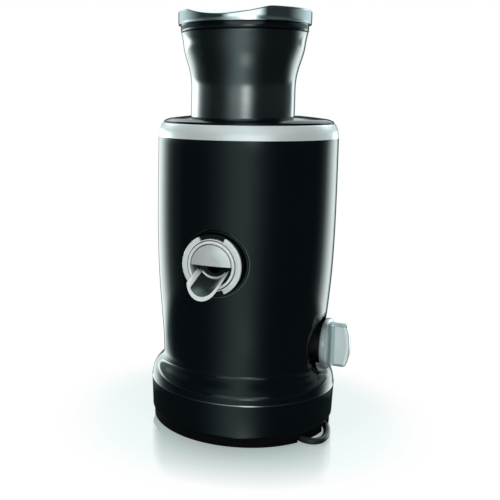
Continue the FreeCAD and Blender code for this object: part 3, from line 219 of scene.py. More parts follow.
class Form:
    """Points and faces of one piece, in millimetres, before its mesh is made."""

    def __init__(self) -> None:
        """Start with nothing."""
        self.points: list[Point] = []
        self.faces: list[tuple[int, ...]] = []
        self.marks: list[int] = []
        self.mark = 0

    def add(self, point: Sequence[float]) -> int:
        """Keep a point and return its number."""
        self.points.append(tuple(point))
        return len(self.points) - 1

    def face(self, *numbers: int) -> None:
        """Keep a face, unless repeated points leave it without area.

        Args:
            numbers: the numbers of its points, in order.
        """
        kept = tuple(dict.fromkeys(numbers))
        if len(kept) > 2:
            self.faces.append(kept)
            self.marks.append(self.mark)

    def band(self, low: Sequence[int], high: Sequence[int]) -> None:
        """Cover the gap between two closed loops.

        Args:
            low: numbers of the points of one loop.
            high: numbers of the other's, as many.
        """
        for k in range(len(low)):
            m = (k + 1) % len(low)
            self.face(low[k], low[m], high[m], high[k])

    def mark_within(self, points: set[int], inside: int = 1, outside: int = 0,
                    first: int = 0) -> None:
        """Mark faces by whether all their points belong to a set.

        Args:
            points: numbers of the points in the set.
            inside: mark of the faces that do.
            outside: mark of the others.
            first: number of the first face that is looked at.
        """
        for number in range(first, len(self.faces)):
            self.marks[number] = inside if set(self.faces[number]) <= points else outside

    def covered(self, rows: Iterable[Sequence[Point]], ring: bool = False) -> "Form":
        """Cover closed rows of points with faces and return the same form."""
        self.skin(rows, ring)
        return self

    def ends(self, index: Sequence[Sequence[int]]) -> None:
        """Close both ends with a face."""
        self.face(*index[0])
        self.face(*index[-1])

    def skin(self, rows: Iterable[Sequence[Point]], ring: bool = False,
             around: bool = True) -> list[list[int]]:
        """Cover rows of points with faces.

        Args:
            rows: rows of equally many points, or of one point at a pole.
            ring: whether the last row meets the first.
            around: whether each row closes on itself.

        Returns:
            The numbers of the points, row by row.
        """
        index = [[self.add(p) for p in row] for row in rows]
        pairs = list(zip(index, index[1:])) + ([(index[-1], index[0])] if ring else [])
        for a, b in pairs:
            n = max(len(a), len(b))
            for k in range(n if around else n - 1):
                m = (k + 1) % n
                self.face(a[k % len(a)], a[m % len(a)], b[m % len(b)], b[k % len(b)])
        return index

    @staticmethod
    def _swept(outline: Outline, axis: Axis, angles: Sequence[float]) -> list[list[Point]]:
        """Rows of an outline's points at each angle, or one point on the axis itself."""
        return [[axis.at(r, a, h) for a in (angles if r > POLE_R else [0.0])]
                for r, h in outline]

    def turned(self, outline: Outline, axis: Axis = Axis(), around: int = 96,
               ring: bool = False) -> "Form":
        """Turn an outline all the way about an axis; ring closes the outline on itself."""
        return self.covered(self._swept(outline, axis, spokes(around)), ring)

    def sector(self, outline: Outline, axis: Axis, start: float, sweep: float,
               around: int = 48) -> "Form":
        """Turn a closed outline through part of a circle and close both ends.

        Args:
            outline: points as (radius, height).
            axis: what it turns about.
            start: where it starts, in degrees.
            sweep: how far it turns, in degrees.
            around: straight pieces in the turn.

        Returns:
            The same form.
        """
        angles = [math.radians(start + sweep * k / around) for k in range(around + 1)]
        index = self.skin(self._swept(outline, axis, angles), True, False)
        for end in (0, -1):
            self.face(*[row[end] for row in index])
        return self

    def prism(self, outline: Outline, place: Callable[[float, float, float], Point],
              stations: Sequence[float]) -> "Form":
        """Carry a closed outline through stations and close both ends.

        Args:
            outline: points across the run.
            place: turns a point of the outline and a station into a point in space.
            stations: distances along the run.

        Returns:
            The same form.
        """
        self.ends(self.skin([[place(u, v, w) for u, v in outline] for w in stations]))
        return self

    def mesh(self, name: str) -> bpy.types.Mesh:
        """Bare mesh of the points and faces, in metres.

        Args:
            name: the mesh's name.

        Returns:
            The mesh, not yet dressed.
        """
        made = bpy.data.meshes.new(name)
        made.from_pydata([tuple(c * MM for c in p) for p in self.points], [], self.faces)
        return made

    def piece(self, name: str, finish: "Finish", sharp: float = 32.0,
              other: "Finish | None" = None) -> bpy.types.Object:
        """Make the finished object.

        Args:
            name: the piece's name.
            finish: what it is dressed in.
            sharp: edges that turn by more than this, in degrees, stay sharp.
            other: what its marked faces are dressed in.

        Returns:
            The object, at the origin, with its place in its mesh.
        """
        mesh = self.mesh(name)
        if other:
            mesh.polygons.foreach_set("material_index", self.marks)
        work = bmesh.new()
        work.from_mesh(mesh)
        bmesh.ops.remove_doubles(work, verts=work.verts, dist=2e-6)
        bmesh.ops.recalc_face_normals(work, faces=work.faces)
        work.to_mesh(mesh)
        work.free()
        mesh.shade_smooth()
        mesh.set_sharp_from_angle(angle=math.radians(sharp))
        for worn in (finish, other) if other else (finish,):
            mesh.materials.append(worn.material())
        return placed(name, mesh)


def settle(piece: bpy.types.Object, body: str, slot: str, *nodes: str) -> bpy.types.Object:
    """Tie a finished piece to the frame and report it.

    Args:
        piece: the object.
        body: the body that it moves with.
        slot: its finish in the record; not used.
        nodes: the nodes that it stands for.

    Returns:
        The same object.
    """
    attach(piece, body)
    if nodes:
        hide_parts(*nodes)
    LOG.info("%s rides on %s and stands for %s", piece.name, body,
             ", ".join(nodes) or "nothing")
    return piece


# ---- finishes
class Wiring:
    """Adds nodes to a tree and links them."""

    def __init__(self, tree: bpy.types.NodeTree) -> None:
        """Work on one tree."""
        self.tree = tree

    def fill(self, node: bpy.types.Node, **inputs: object) -> bpy.types.Node:
        """Set or link inputs of a node.

        Args:
            node: the node.
            inputs: values or sockets by the input's name, with underscores for its spaces, or
                by its number after an underscore.

        Returns:
            The same node.
        """
        for name, value in inputs.items():
            socket = node.inputs[int(name[1:]) if name[0] == "_" else name.replace("_", " ")]
            if isinstance(value, Socket):
                self.tree.links.new(value, socket)
            else:
                socket.default_value = value
        return node

    def node(self, kind: str, setup: dict[str, str] | None = None,
             **inputs: object) -> bpy.types.Node:
        """Add a node.

        Args:
            kind: its type.
            setup: its own properties, which are set before its inputs.
            inputs: its inputs, as fill takes them.

        Returns:
            The node.
        """
        made = self.tree.nodes.new(kind)
        for name, value in (setup or {}).items():
            setattr(made, name, value)
        return self.fill(made, **inputs)

    def maths(self, operation: str, first: Socket, second: Socket | float) -> Socket:
        """Socket with the result of a calculation."""
        return self.node("ShaderNodeMath", {"operation": operation}, _0=first,
                         _1=second).outputs["Value"]

    def remap(self, value: Socket, start: Span = (0.0, 1.0), end: Span = (0.0, 1.0)) -> Socket:
        """Socket with a value brought from one range to another."""
        return self.node("ShaderNodeMapRange", Value=value, From_Min=start[0], From_Max=start[1],
                         To_Min=end[0], To_Max=end[1]).outputs["Result"]

    def mixed(self, share: Socket, first: Socket, second: Socket) -> Socket:
        """Socket with a mixture of two shaders."""
        return self.node("ShaderNodeMixShader", Fac=share, _1=first, _2=second).outputs["Shader"]


class Grain(Enum):
    """The fine structure in a surface."""

    FINE = "fine"
    TURNED = "turned"
    DRAWN = "drawn"
    WOUND = "wound"
    STACKED = "stacked"
    CAST = "cast"


@dataclass(frozen=True)
class Finish:
    """One surface finish and the node material that shows it."""

    name: str
    colour: tuple[float, float, float]
    rough: float
    metal: float = 0.0
    level: float = 0.5
    grain: Grain = Grain.FINE
    grain_mm: float = 0.6
    depth: float = 0.02
    spread: float = 0.1
    cloud_mm: float = 40.0
    cloud: float = 0.06
    coat: float = 0.0
    ior: float = 1.5

    def material(self) -> bpy.types.Material:
        """Build the material once.

        Returns:
            The material.
        """
        known = bpy.data.materials.get(self.name)
        if known:
            return known
        made = bpy.data.materials.new(self.name)
        made.use_nodes = True
        wiring = Wiring(made.node_tree)
        where = wiring.node("ShaderNodeTexCoord").outputs["Object"]
        tint = wiring.node("ShaderNodeMix", {"data_type": "RGBA"},
                           Factor=self._noise(wiring, where, self.cloud_mm, 2.0),
                           A=(*[c * (1 - self.cloud) for c in self.colour], 1),
                           B=(*[min(1.0, c * (1 + self.cloud)) for c in self.colour], 1))
        rough = wiring.remap(self._noise(wiring, where, self.cloud_mm * 0.3, 3.0), end=(
            self.rough * (1 - self.spread), min(1.0, self.rough * (1 + self.spread))))
        bump = wiring.node("ShaderNodeBump", Strength=1.0, Distance=self.depth * MM,
                           Height=self._relief(wiring, where))
        wiring.fill(made.node_tree.nodes["Principled BSDF"], Metallic=self.metal,
                    Specular_IOR_Level=self.level, IOR=self.ior, Coat_Weight=self.coat,
                    Coat_Roughness=0.05, Base_Color=tint.outputs["Result"], Roughness=rough,
                    Normal=bump.outputs["Normal"])
        return made

    @staticmethod
    def _noise(wiring: Wiring, where: Socket, size: float, detail: float) -> Socket:
        """Cloudy pattern whose patches are about size across, in millimetres."""
        return wiring.node("ShaderNodeTexNoise", Scale=1.0 / (size * MM), Detail=detail,
                           Vector=where).outputs["Fac"]

    def _relief(self, wiring: Wiring, where: Socket) -> Socket:
        """Height pattern of the grain.

        Args:
            wiring: the material's tree.
            where: the place on the piece.

        Returns:
            The height.
        """
        if self.grain in (Grain.FINE, Grain.CAST):
            return self._noise(wiring, where, self.grain_mm,
                               4.0 if self.grain is Grain.CAST else 1.5)
        setup = {"wave_type": "BANDS", "bands_direction": "Z"}
        if self.grain in (Grain.TURNED, Grain.WOUND):
            setup = {"wave_type": "RINGS", "rings_direction": "Z"}
        return wiring.node("ShaderNodeTexWave", setup, Scale=0.3 / (self.grain_mm * MM),
                           Distortion=0.6 if self.grain is Grain.WOUND else 0.15, Detail=1.0,
                           Vector=where).outputs["Fac"]


GLOSS_BLACK = Finish("gloss_black_plastic", (0.0014, 0.003, 0.0045), 0.06,
                     grain_mm=3.0, depth=0.0006, cloud=0.15, spread=0.35)
# Painted sheen: the casing's black plastic made more reflective, so the feed tube's highlights come
# out brighter than the same light gives on the casing.
SHEEN_TUBE_BLACK = replace(GLOSS_BLACK, name="gloss_black_tube_painted_sheen", rough=0.14, level=0.8, ior=1.9,
                     spread=0.3)
# Painted highlight: the black plastic made far more reflective, worn only on thin strips along the
# ridge and round the rims of the two holes, so these show bright lines.
HIGHLIGHT_EDGE_BLACK = replace(GLOSS_BLACK, name="gloss_black_painted_highlight_edge", rough=0.1, level=0.9, ior=2.1,
                     depth=0.0004, cloud=0.1, spread=0.2)
MATTE_BLACK = Finish("matte_black_plastic", (0.012, 0.012, 0.013), 0.42, level=0.4,
                     grain_mm=0.5, depth=0.015, cloud=0.1)
SATIN_SILVER = Finish("satin_silver_paint", (0.75, 0.81, 0.81), 0.3, metal=0.45,
                      grain_mm=0.25, depth=0.002, cloud=0.02, coat=0.25)
BRIGHT_CHROME = Finish("bright_chrome_plate", (0.86, 0.87, 0.88), 0.07, metal=1.0,
                       grain_mm=2.0, depth=0.0004, cloud=0.01, spread=0.3)
# Painted shade: chrome darkened to draw a dark line along the pusher cap's rounded rim.
PAINTED_SHADE_CHROME = Finish("chrome_edge_painted_shade", (0.1, 0.12, 0.12), 0.25, metal=1.0,
                       grain_mm=0.4, depth=0.001, cloud=0.02)
# Painted shade: the trough's chrome darkened for the inside of its channel.
TROUGH_SHADE_CHROME = replace(PAINTED_SHADE_CHROME, name="trough_chrome_painted_shade", colour=(0.17, 0.23, 0.23),
                      rough=0.2, metal=0.9)
SILVER_TRIM = Finish("bright_silver_trim", (0.92, 0.96, 0.96), 0.22, metal=0.4, level=0.6,
                     grain_mm=0.4, depth=0.001, cloud=0.01)
KNOB_GREY = replace(SILVER_TRIM, name="satin_grey_knob", colour=(0.5, 0.58, 0.58), metal=0.7)
KNOB_SILVER = replace(SILVER_TRIM, name="satin_silver_knob", colour=(0.88, 0.93, 0.93),
                      rough=0.2, metal=0.5)
SATIN_HOOD = replace(SILVER_TRIM, name="satin_silver_hood", colour=(0.9, 0.93, 0.93),
                     metal=0.6, cloud=0.02)
STEEL = Finish("brushed_steel", (0.55, 0.55, 0.56), 0.28, metal=1.0, grain=Grain.TURNED,
               grain_mm=0.5, depth=0.004, cloud=0.04)
DRAWN_STEEL = Finish("drawn_steel", (0.5, 0.5, 0.51), 0.3, metal=1.0, grain=Grain.DRAWN,
                     grain_mm=0.4, depth=0.004, cloud=0.05)
SOFT_RUBBER = Finish("soft_black_rubber", (0.003, 0.003, 0.004), 0.8, level=0.06,
                     grain_mm=0.7, depth=0.03, cloud=0.15)
GREY_RUBBER = Finish("grey_rubber", (0.2, 0.2, 0.21), 0.6, level=0.3, grain_mm=0.8, depth=0.03)
CORD_RUBBER = Finish("cord_black_vinyl", (0.012, 0.012, 0.013), 0.38, level=0.45,
                     grain_mm=0.8, depth=0.02, cloud=0.12)
CAST_ALLOY = Finish("cast_alloy", (0.5, 0.51, 0.52), 0.45, metal=1.0, grain=Grain.CAST,
                    grain_mm=1.2, depth=0.08, cloud=0.08)
DARK_IRON = Finish("lacquered_plates", (0.09, 0.09, 0.1), 0.4, metal=0.6, grain=Grain.STACKED,
                   grain_mm=0.6, depth=0.06, cloud=0.1)
COPPER = Finish("enamelled_copper", (0.5, 0.19, 0.07), 0.3, metal=0.8, grain=Grain.WOUND,
                grain_mm=0.9, depth=0.15, cloud=0.12)
BRASS = Finish("plain_brass", (0.6, 0.43, 0.16), 0.3, metal=1.0, grain_mm=0.5, depth=0.01)
CARBON = Finish("pressed_carbon", (0.02, 0.02, 0.02), 0.6, level=0.3, grain=Grain.CAST,
                grain_mm=0.4, depth=0.03)
SMOKE = Finish("dark_smoke_plastic", (0.045, 0.05, 0.055), 0.16, grain_mm=2.0, depth=0.002,
               cloud=0.08)
BOARD_GREEN = Finish("green_lacquer_board", (0.012, 0.12, 0.05), 0.35, grain_mm=1.5, depth=0.02,
                     cloud=0.2, cloud_mm=4.0)

DRESSED: dict[str, Finish] = {
    "gloss_black": GLOSS_BLACK, "matte_black": MATTE_BLACK, "satin_silver": SATIN_SILVER,
    "bright_chrome": BRIGHT_CHROME, "steel": STEEL, "soft_rubber": SOFT_RUBBER,
    "grey_rubber": GREY_RUBBER, "cord_rubber": CORD_RUBBER, "cast_alloy": CAST_ALLOY,
    "dark_iron": DARK_IRON, "copper": COPPER, "brass_parts": BRASS, "carbon": CARBON,
    "smoke_plastic": SMOKE, "board_green": BOARD_GREEN,
}


# ---- casing
@dataclass(frozen=True)
class Hole:
    """Round hole in the casing, and how far the rows and columns about it are remade."""

    facing: float
    mid: float
    radius: float
    low: float
    high: float
    reach: int = 12


@dataclass
class Casing:
    """Black casing on its foot, with the silver collar and both round recesses."""

    low_r: float = 101.6
    low_z: float = 10.7
    corner: float = 1.6
    ridge_r: float = 102.9
    ridge_z: float = 45.6
    ridge_step: float = 0.42
    lean: float = 6.0
    flare: Outline = field(default_factory=lambda: [
        (101.2, 54.4), (97.3, 61.6), (91.7, 68.1), (89.5, 76.0)])
    wall_line: Outline = field(default_factory=lambda: [
        (89.5, 76.0), (91.0, 106.0), (95.2, 156.0), (97.1, 196.0), (97.7, 240.0), (97.4, 316.3)])
    wall: float = 3.0
    spout_z: float = 192.0
    spout_hole: float = 34.2
    spout_cup: float = 34.0
    spout_floor: float = 86.0
    spout_bore: float = 14.08
    knob_z: float = 95.0
    knob_hole: float = 33.2
    knob_cup: float = 33.0
    knob_floor: float = 70.0
    knob_bore: float = 4.08
    cup_wall: float = 1.7
    cup_floor: float = 2.0
    skin_gap: float = 0.2
    hole_edge: float = 1.1
    edge_steps: tuple[Span, ...] = ((0.0, 1.0), (0.13, 0.5), (0.5, 0.13))
    # Heights above the ridge whose rows wear the more reflective black: a painted highlight line.
    painted_highlight_rows: Span = (0.2, 1.45)
    columns: int = 144
    patch_rings: int = 7
    patch_r: float = 95.0
    grid: tuple[float, float, float] = (80.0, 316.0, 4.0)
    nearest_rows: float = 0.05
    cup_around: int = 120
    rod_gap: float = 4.0

    def __post_init__(self) -> None:
        """Work out the skin's outline."""
        tip = self.ridge_r - self.ridge_step
        flare = smooth_line([(tip, self.ridge_z + 1.6), *self.flare],
                            (-math.sin(math.radians(self.lean)), 1.0), (0.0, 1.0), 9)
        foot = rounded([(self.low_r - self.corner / 2, self.low_z),
                        (self.low_r, self.low_z + self.corner, 2.0),
                        (self.ridge_r, self.ridge_z - 0.1, 0.4),
                        (self.ridge_r - 0.08, self.ridge_z + 0.28),
                        (self.ridge_r - 0.36, self.ridge_z + 1.38),
                        (tip, self.ridge_z + 1.6)], 7)
        wall = smooth_line(self.wall_line, (0.0, 1.0), (-0.01, 1.0), 9)
        line = foot[:-1] + flare[:-1] + wall
        self.radii = np.array([p[0] for p in line])
        self.heights = np.array([p[1] for p in line])

    def radius(self, z: float) -> float:
        """Radius of the skin at a height."""
        return float(np.interp(z, self.heights, self.radii))

    def build(self) -> None:
        """Make the casing's pieces."""
        self._shell()
        self._recesses()
        self._collar()

    def _rows(self, edges: Sequence[float]) -> list[float]:
        """Heights of the skin's rows.

        Args:
            edges: heights that have to be among them.

        Returns:
            The heights from the lowest, with no two nearly alike.
        """
        rows = [*map(float, self.heights), *np.arange(*self.grid), *edges]
        kept = sorted({round(z, 4) for z in rows})
        out = [kept[0]]
        for z in kept[1:]:
            if z - out[-1] > self.nearest_rows:
                out.append(z)
            elif z in edges:
                out[-1] = z
        return out

    def _shell(self) -> None:
        """Skin with the holes for the spout and the knob, an inner skin, and the walls between."""
        step = TAU / self.columns
        holes = [Hole(-TAU / 4, self.spout_z, self.spout_hole, 146.0, 238.0),
                 Hole(0.0, self.knob_z, self.knob_hole, 57.0, 134.0)]
        rows = self._rows([z for hole in holes for z in (hole.low, hole.high)])
        form, layers = Form(), []
        for inset in (0.0, self.wall):
            grid = [[form.add(Axis().at(self.radius(z) - inset, step * j, z))
                     for j in range(self.columns)] for z in rows]
            taken, loops = set(), []
            for hole in holes:
                rim, cells = self._patch(form, grid, rows, hole, inset)
                loops.append(rim)
                taken |= cells
            for i in range(len(rows) - 1):
                middle = (rows[i] + rows[i + 1]) / 2 - self.ridge_z
                # Rows just above the ridge wear the more reflective black: a painted highlight line
                # along the ridge.
                form.mark = int(inset == 0.0
                                and self.painted_highlight_rows[0] < middle < self.painted_highlight_rows[1])
                for j in range(self.columns):
                    if (i, j) not in taken:
                        k = (j + 1) % self.columns
                        form.face(grid[i][j], grid[i][k], grid[i + 1][k], grid[i + 1][j])
            form.mark = 0
            layers.append([grid[0], grid[-1], *loops])
        for outer, inner in zip(*layers):
            form.band(outer, inner)
        settle(form.piece("casing_shell", GLOSS_BLACK, other=HIGHLIGHT_EDGE_BLACK), "base", "gloss_black",
               "body_shell")

    def _patch(self, form: Form, grid: list[list[int]], rows: list[float], hole: Hole,
               inset: float) -> tuple[list[int], set[tuple[int, int]]]:
        """Skin between a round hole and the rectangle of rows and columns about it.

        Args:
            form: gathers the faces.
            grid: numbers of the skin's points.
            rows: heights of the rows.
            hole: the hole.
            inset: how far the skin lies inside the casing's own.

        Returns:
            The numbers of the points round the hole, and the cells of the rectangle.
        """
        step, reach = TAU / self.columns, hole.reach
        first = round(hole.facing / step)
        low, high = rows.index(hole.low), rows.index(hole.high)
        border = ([(low, j) for j in range(-reach, reach)]
                  + [(i, reach) for i in range(low, high)]
                  + [(high, j) for j in range(reach, -reach, -1)]
                  + [(i, -reach) for i in range(high, low, -1)])
        edge = self.hole_edge if inset == 0.0 else 0.0
        steps = [(hole.radius + edge, inset, ring) for ring in range(self.patch_rings)]
        if edge:
            steps = [(hole.radius + out * edge, back * edge, 0)
                     for out, back in self.edge_steps] + steps
        loops: list[list[int]] = []
        for size, back, ring in steps:
            share = (ring / self.patch_rings) ** 1.1
            loop = []
            for i, j in border:
                angle = math.atan2(rows[i] - hole.mid, self.patch_r * step * j)
                near_z = hole.mid + size * math.sin(angle)
                near = math.asin(size * math.cos(angle) / (self.radius(near_z) - back))
                turn = near + (step * j - near) * share
                z = near_z + (rows[i] - near_z) * share
                loop.append(form.add(Axis().at(self.radius(z) - back, hole.facing + turn, z)))
            loops.append(loop)
        loops.append([grid[i][(first + j) % self.columns] for i, j in border])
        for number, (a, b) in enumerate(zip(loops, loops[1:])):
            # The rounded edge round each hole wears the more reflective black: a painted highlight
            # line along the rim.
            form.mark = int(inset == 0.0 and number < len(self.edge_steps))
            form.band(a, b)
        form.mark = 0
        return loops[0], {(i, (first + j) % self.columns) for i in range(low, high)
                          for j in range(-reach, reach)}

    def _rim(self, axis: Axis, radius: float, back: float) -> list[Point]:
        """Circle that follows the skin from just inside it.

        Args:
            axis: the recess's axis.
            radius: the circle's radius.
            back: how far it lies behind the rim.

        Returns:
            The circle's points.
        """
        out = []
        for a in spokes(self.cup_around):
            skin = self.radius(axis.z + radius * math.sin(a)) - self.skin_gap
            across = radius * math.cos(a)
            out.append(axis.at(radius, a, math.sqrt(skin * skin - across * across) - back))
        return out

    def _cup(self, axis: Axis, outer: float, floor: float, bore: float) -> Form:
        """Round recess whose rim follows the skin.

        Args:
            axis: the recess's axis.
            outer: its outside radius.
            floor: where the outside of its floor lies along the axis.
            bore: radius of the hole in the floor.

        Returns:
            The recess.
        """
        inner, top, n = outer - self.cup_wall, floor + self.cup_floor, self.cup_around
        return Form().covered([
            axis.ring(bore, floor, n), axis.ring(outer, floor, n),
            self._rim(axis, outer, 0.3), self._rim(axis, outer - 0.3, 0.0),
            self._rim(axis, inner + 0.3, 0.0), self._rim(axis, inner, 0.3),
            axis.ring(inner, top + 1.0, n), axis.ring(inner - 0.3, top + 0.3, n),
            axis.ring(inner - 1.0, top, n), axis.ring(bore, top, n)], True)

    def _recesses(self) -> None:
        """Cups behind the spout and the knob."""
        spout = self._cup(Axis(Facing.FRONT, z=self.spout_z), self.spout_cup, self.spout_floor,
                          self.spout_bore)
        settle(spout.piece("spout_recess", GLOSS_BLACK), "base", "matte_black", "spout_pocket")
        knob = self._cup(Axis(Facing.SIDE, z=self.knob_z), self.knob_cup, self.knob_floor,
                         self.knob_bore)
        settle(knob.piece("knob_recess", GLOSS_BLACK), "base", "matte_black", "knob_pocket")

    def _collar(self) -> None:
        """Silver ring that seats the lid."""
        outside = smooth_line([(97.5, 316.3), (97.1, 319.3), (96.1, 324.8), (93.95, 329.9)],
                              steps=6)
        rest = rounded([(93.95, 329.9), (93.3, 331.0, 0.6), (92.6, 331.0, 0.2), (92.6, 326.0),
                        (89.5, 326.0, 0.3), (89.5, 309.0), (94.2, 309.0, 0.3), (94.2, 316.3),
                        (97.5, 316.3)], 3)
        form = Form().turned(outside + rest[1:-1], around=160, ring=True)
        ledge = rounded([(85.9, 309.0, 0.3), (89.9, 309.0), (89.9, 311.7), (85.9, 311.7, 0.3)],
                        3, True)
        form.sector(ledge, Axis(), self.rod_gap / 2 + 90.0, 360.0 - self.rod_gap, 158)
        settle(form.piece("collar_ring_silver", SATIN_SILVER), "base", "satin_silver",
               "collar_ring")


# ---- lid and feed
@dataclass
class Lid:
    """Low dome with its skirt and tabs, round the seat of the feed tube."""

    edge_r: float = 92.3
    low_z: float = 326.3
    skirt_r: float = 85.5
    skirt_t: float = 3.0
    skirt_z: float = 309.0
    dome: Outline = field(default_factory=lambda: [
        (0.0, 339.0), (40.0, 339.0), (58.3, 339.0), (70.0, 337.8), (86.0, 335.8), (91.2, 333.6)])
    seat_r: float = 55.1
    seat_z: float = 335.5
    hole_r: float = 35.8
    shoulder_r: float = 90.6
    under_z: float = 332.0
    offset: float = 19.5
    tabs: int = 4
    tab_span: float = 12.0
    tab_out: float = 88.0
    tab_z: float = 318.0
    tab_h: float = 6.0
    around: int = 160

    def top(self, radius: float) -> float:
        """Height of the dome at a distance from the axis."""
        return float(np.interp(radius, [p[0] for p in self.dome], [p[1] for p in self.dome]))

    def _level(self, radius: float, offset: float, height: float) -> list[Point]:
        """Level circle about the axis, or in front of it."""
        return Axis(y=-offset).ring(radius, height, self.around)

    def _on_dome(self, radius: float, offset: float, drop: float = 0.0) -> list[Point]:
        """Circle laid on the dome."""
        return [(x, y, self.top(math.hypot(x, y)) - drop)
                for x, y, _ in self._level(radius, offset, 0.0)]

    def build(self) -> None:
        """Make the lid."""
        inner = self.skirt_r - self.skirt_t
        steps = [(self.seat_r + (self.shoulder_r - self.seat_r) * s, self.offset * (1 - s))
                 for s in [0.004, 0.02] + [k / 16 for k in range(1, 17)]]
        rows = [self._level(self.hole_r, self.offset, self.seat_z),
                self._level(self.seat_r, self.offset, self.seat_z),
                self._on_dome(self.seat_r, self.offset, 0.3)]
        rows += [self._on_dome(r, off) for r, off in steps]
        rows += [self._level(r, 0.0, z) for r, z in rounded(
            [(self.shoulder_r, self.top(self.shoulder_r)), (91.4, 333.2, 0.6),
             (self.edge_r, 331.0, 1.5), (self.edge_r, self.low_z, 0.3),
             (self.skirt_r, self.low_z), (self.skirt_r, self.skirt_z, 0.4),
             (inner, self.skirt_z, 0.4), (inner, 326.5, 2.0), (inner - 18, 331.2),
             (60.0, self.under_z)], 4)[1:]]
        rows += [self._level(self.hole_r, self.offset, self.under_z)]
        form = Form().covered(rows, True)
        root, tab_top = self.skirt_r - 1, self.tab_z + self.tab_h
        outline = rounded([(self.tab_out, self.tab_z, 0.5), (self.tab_out, tab_top, 0.5),
                           (root, tab_top), (root, self.tab_z)], 3, True)
        for k in range(self.tabs):
            middle = 45 + 360 / self.tabs * k
            form.sector(outline, Axis(), middle - self.tab_span / 2, self.tab_span, 8)
        settle(form.piece("lid_dome", GLOSS_BLACK), "lid", "gloss_black", "lid")


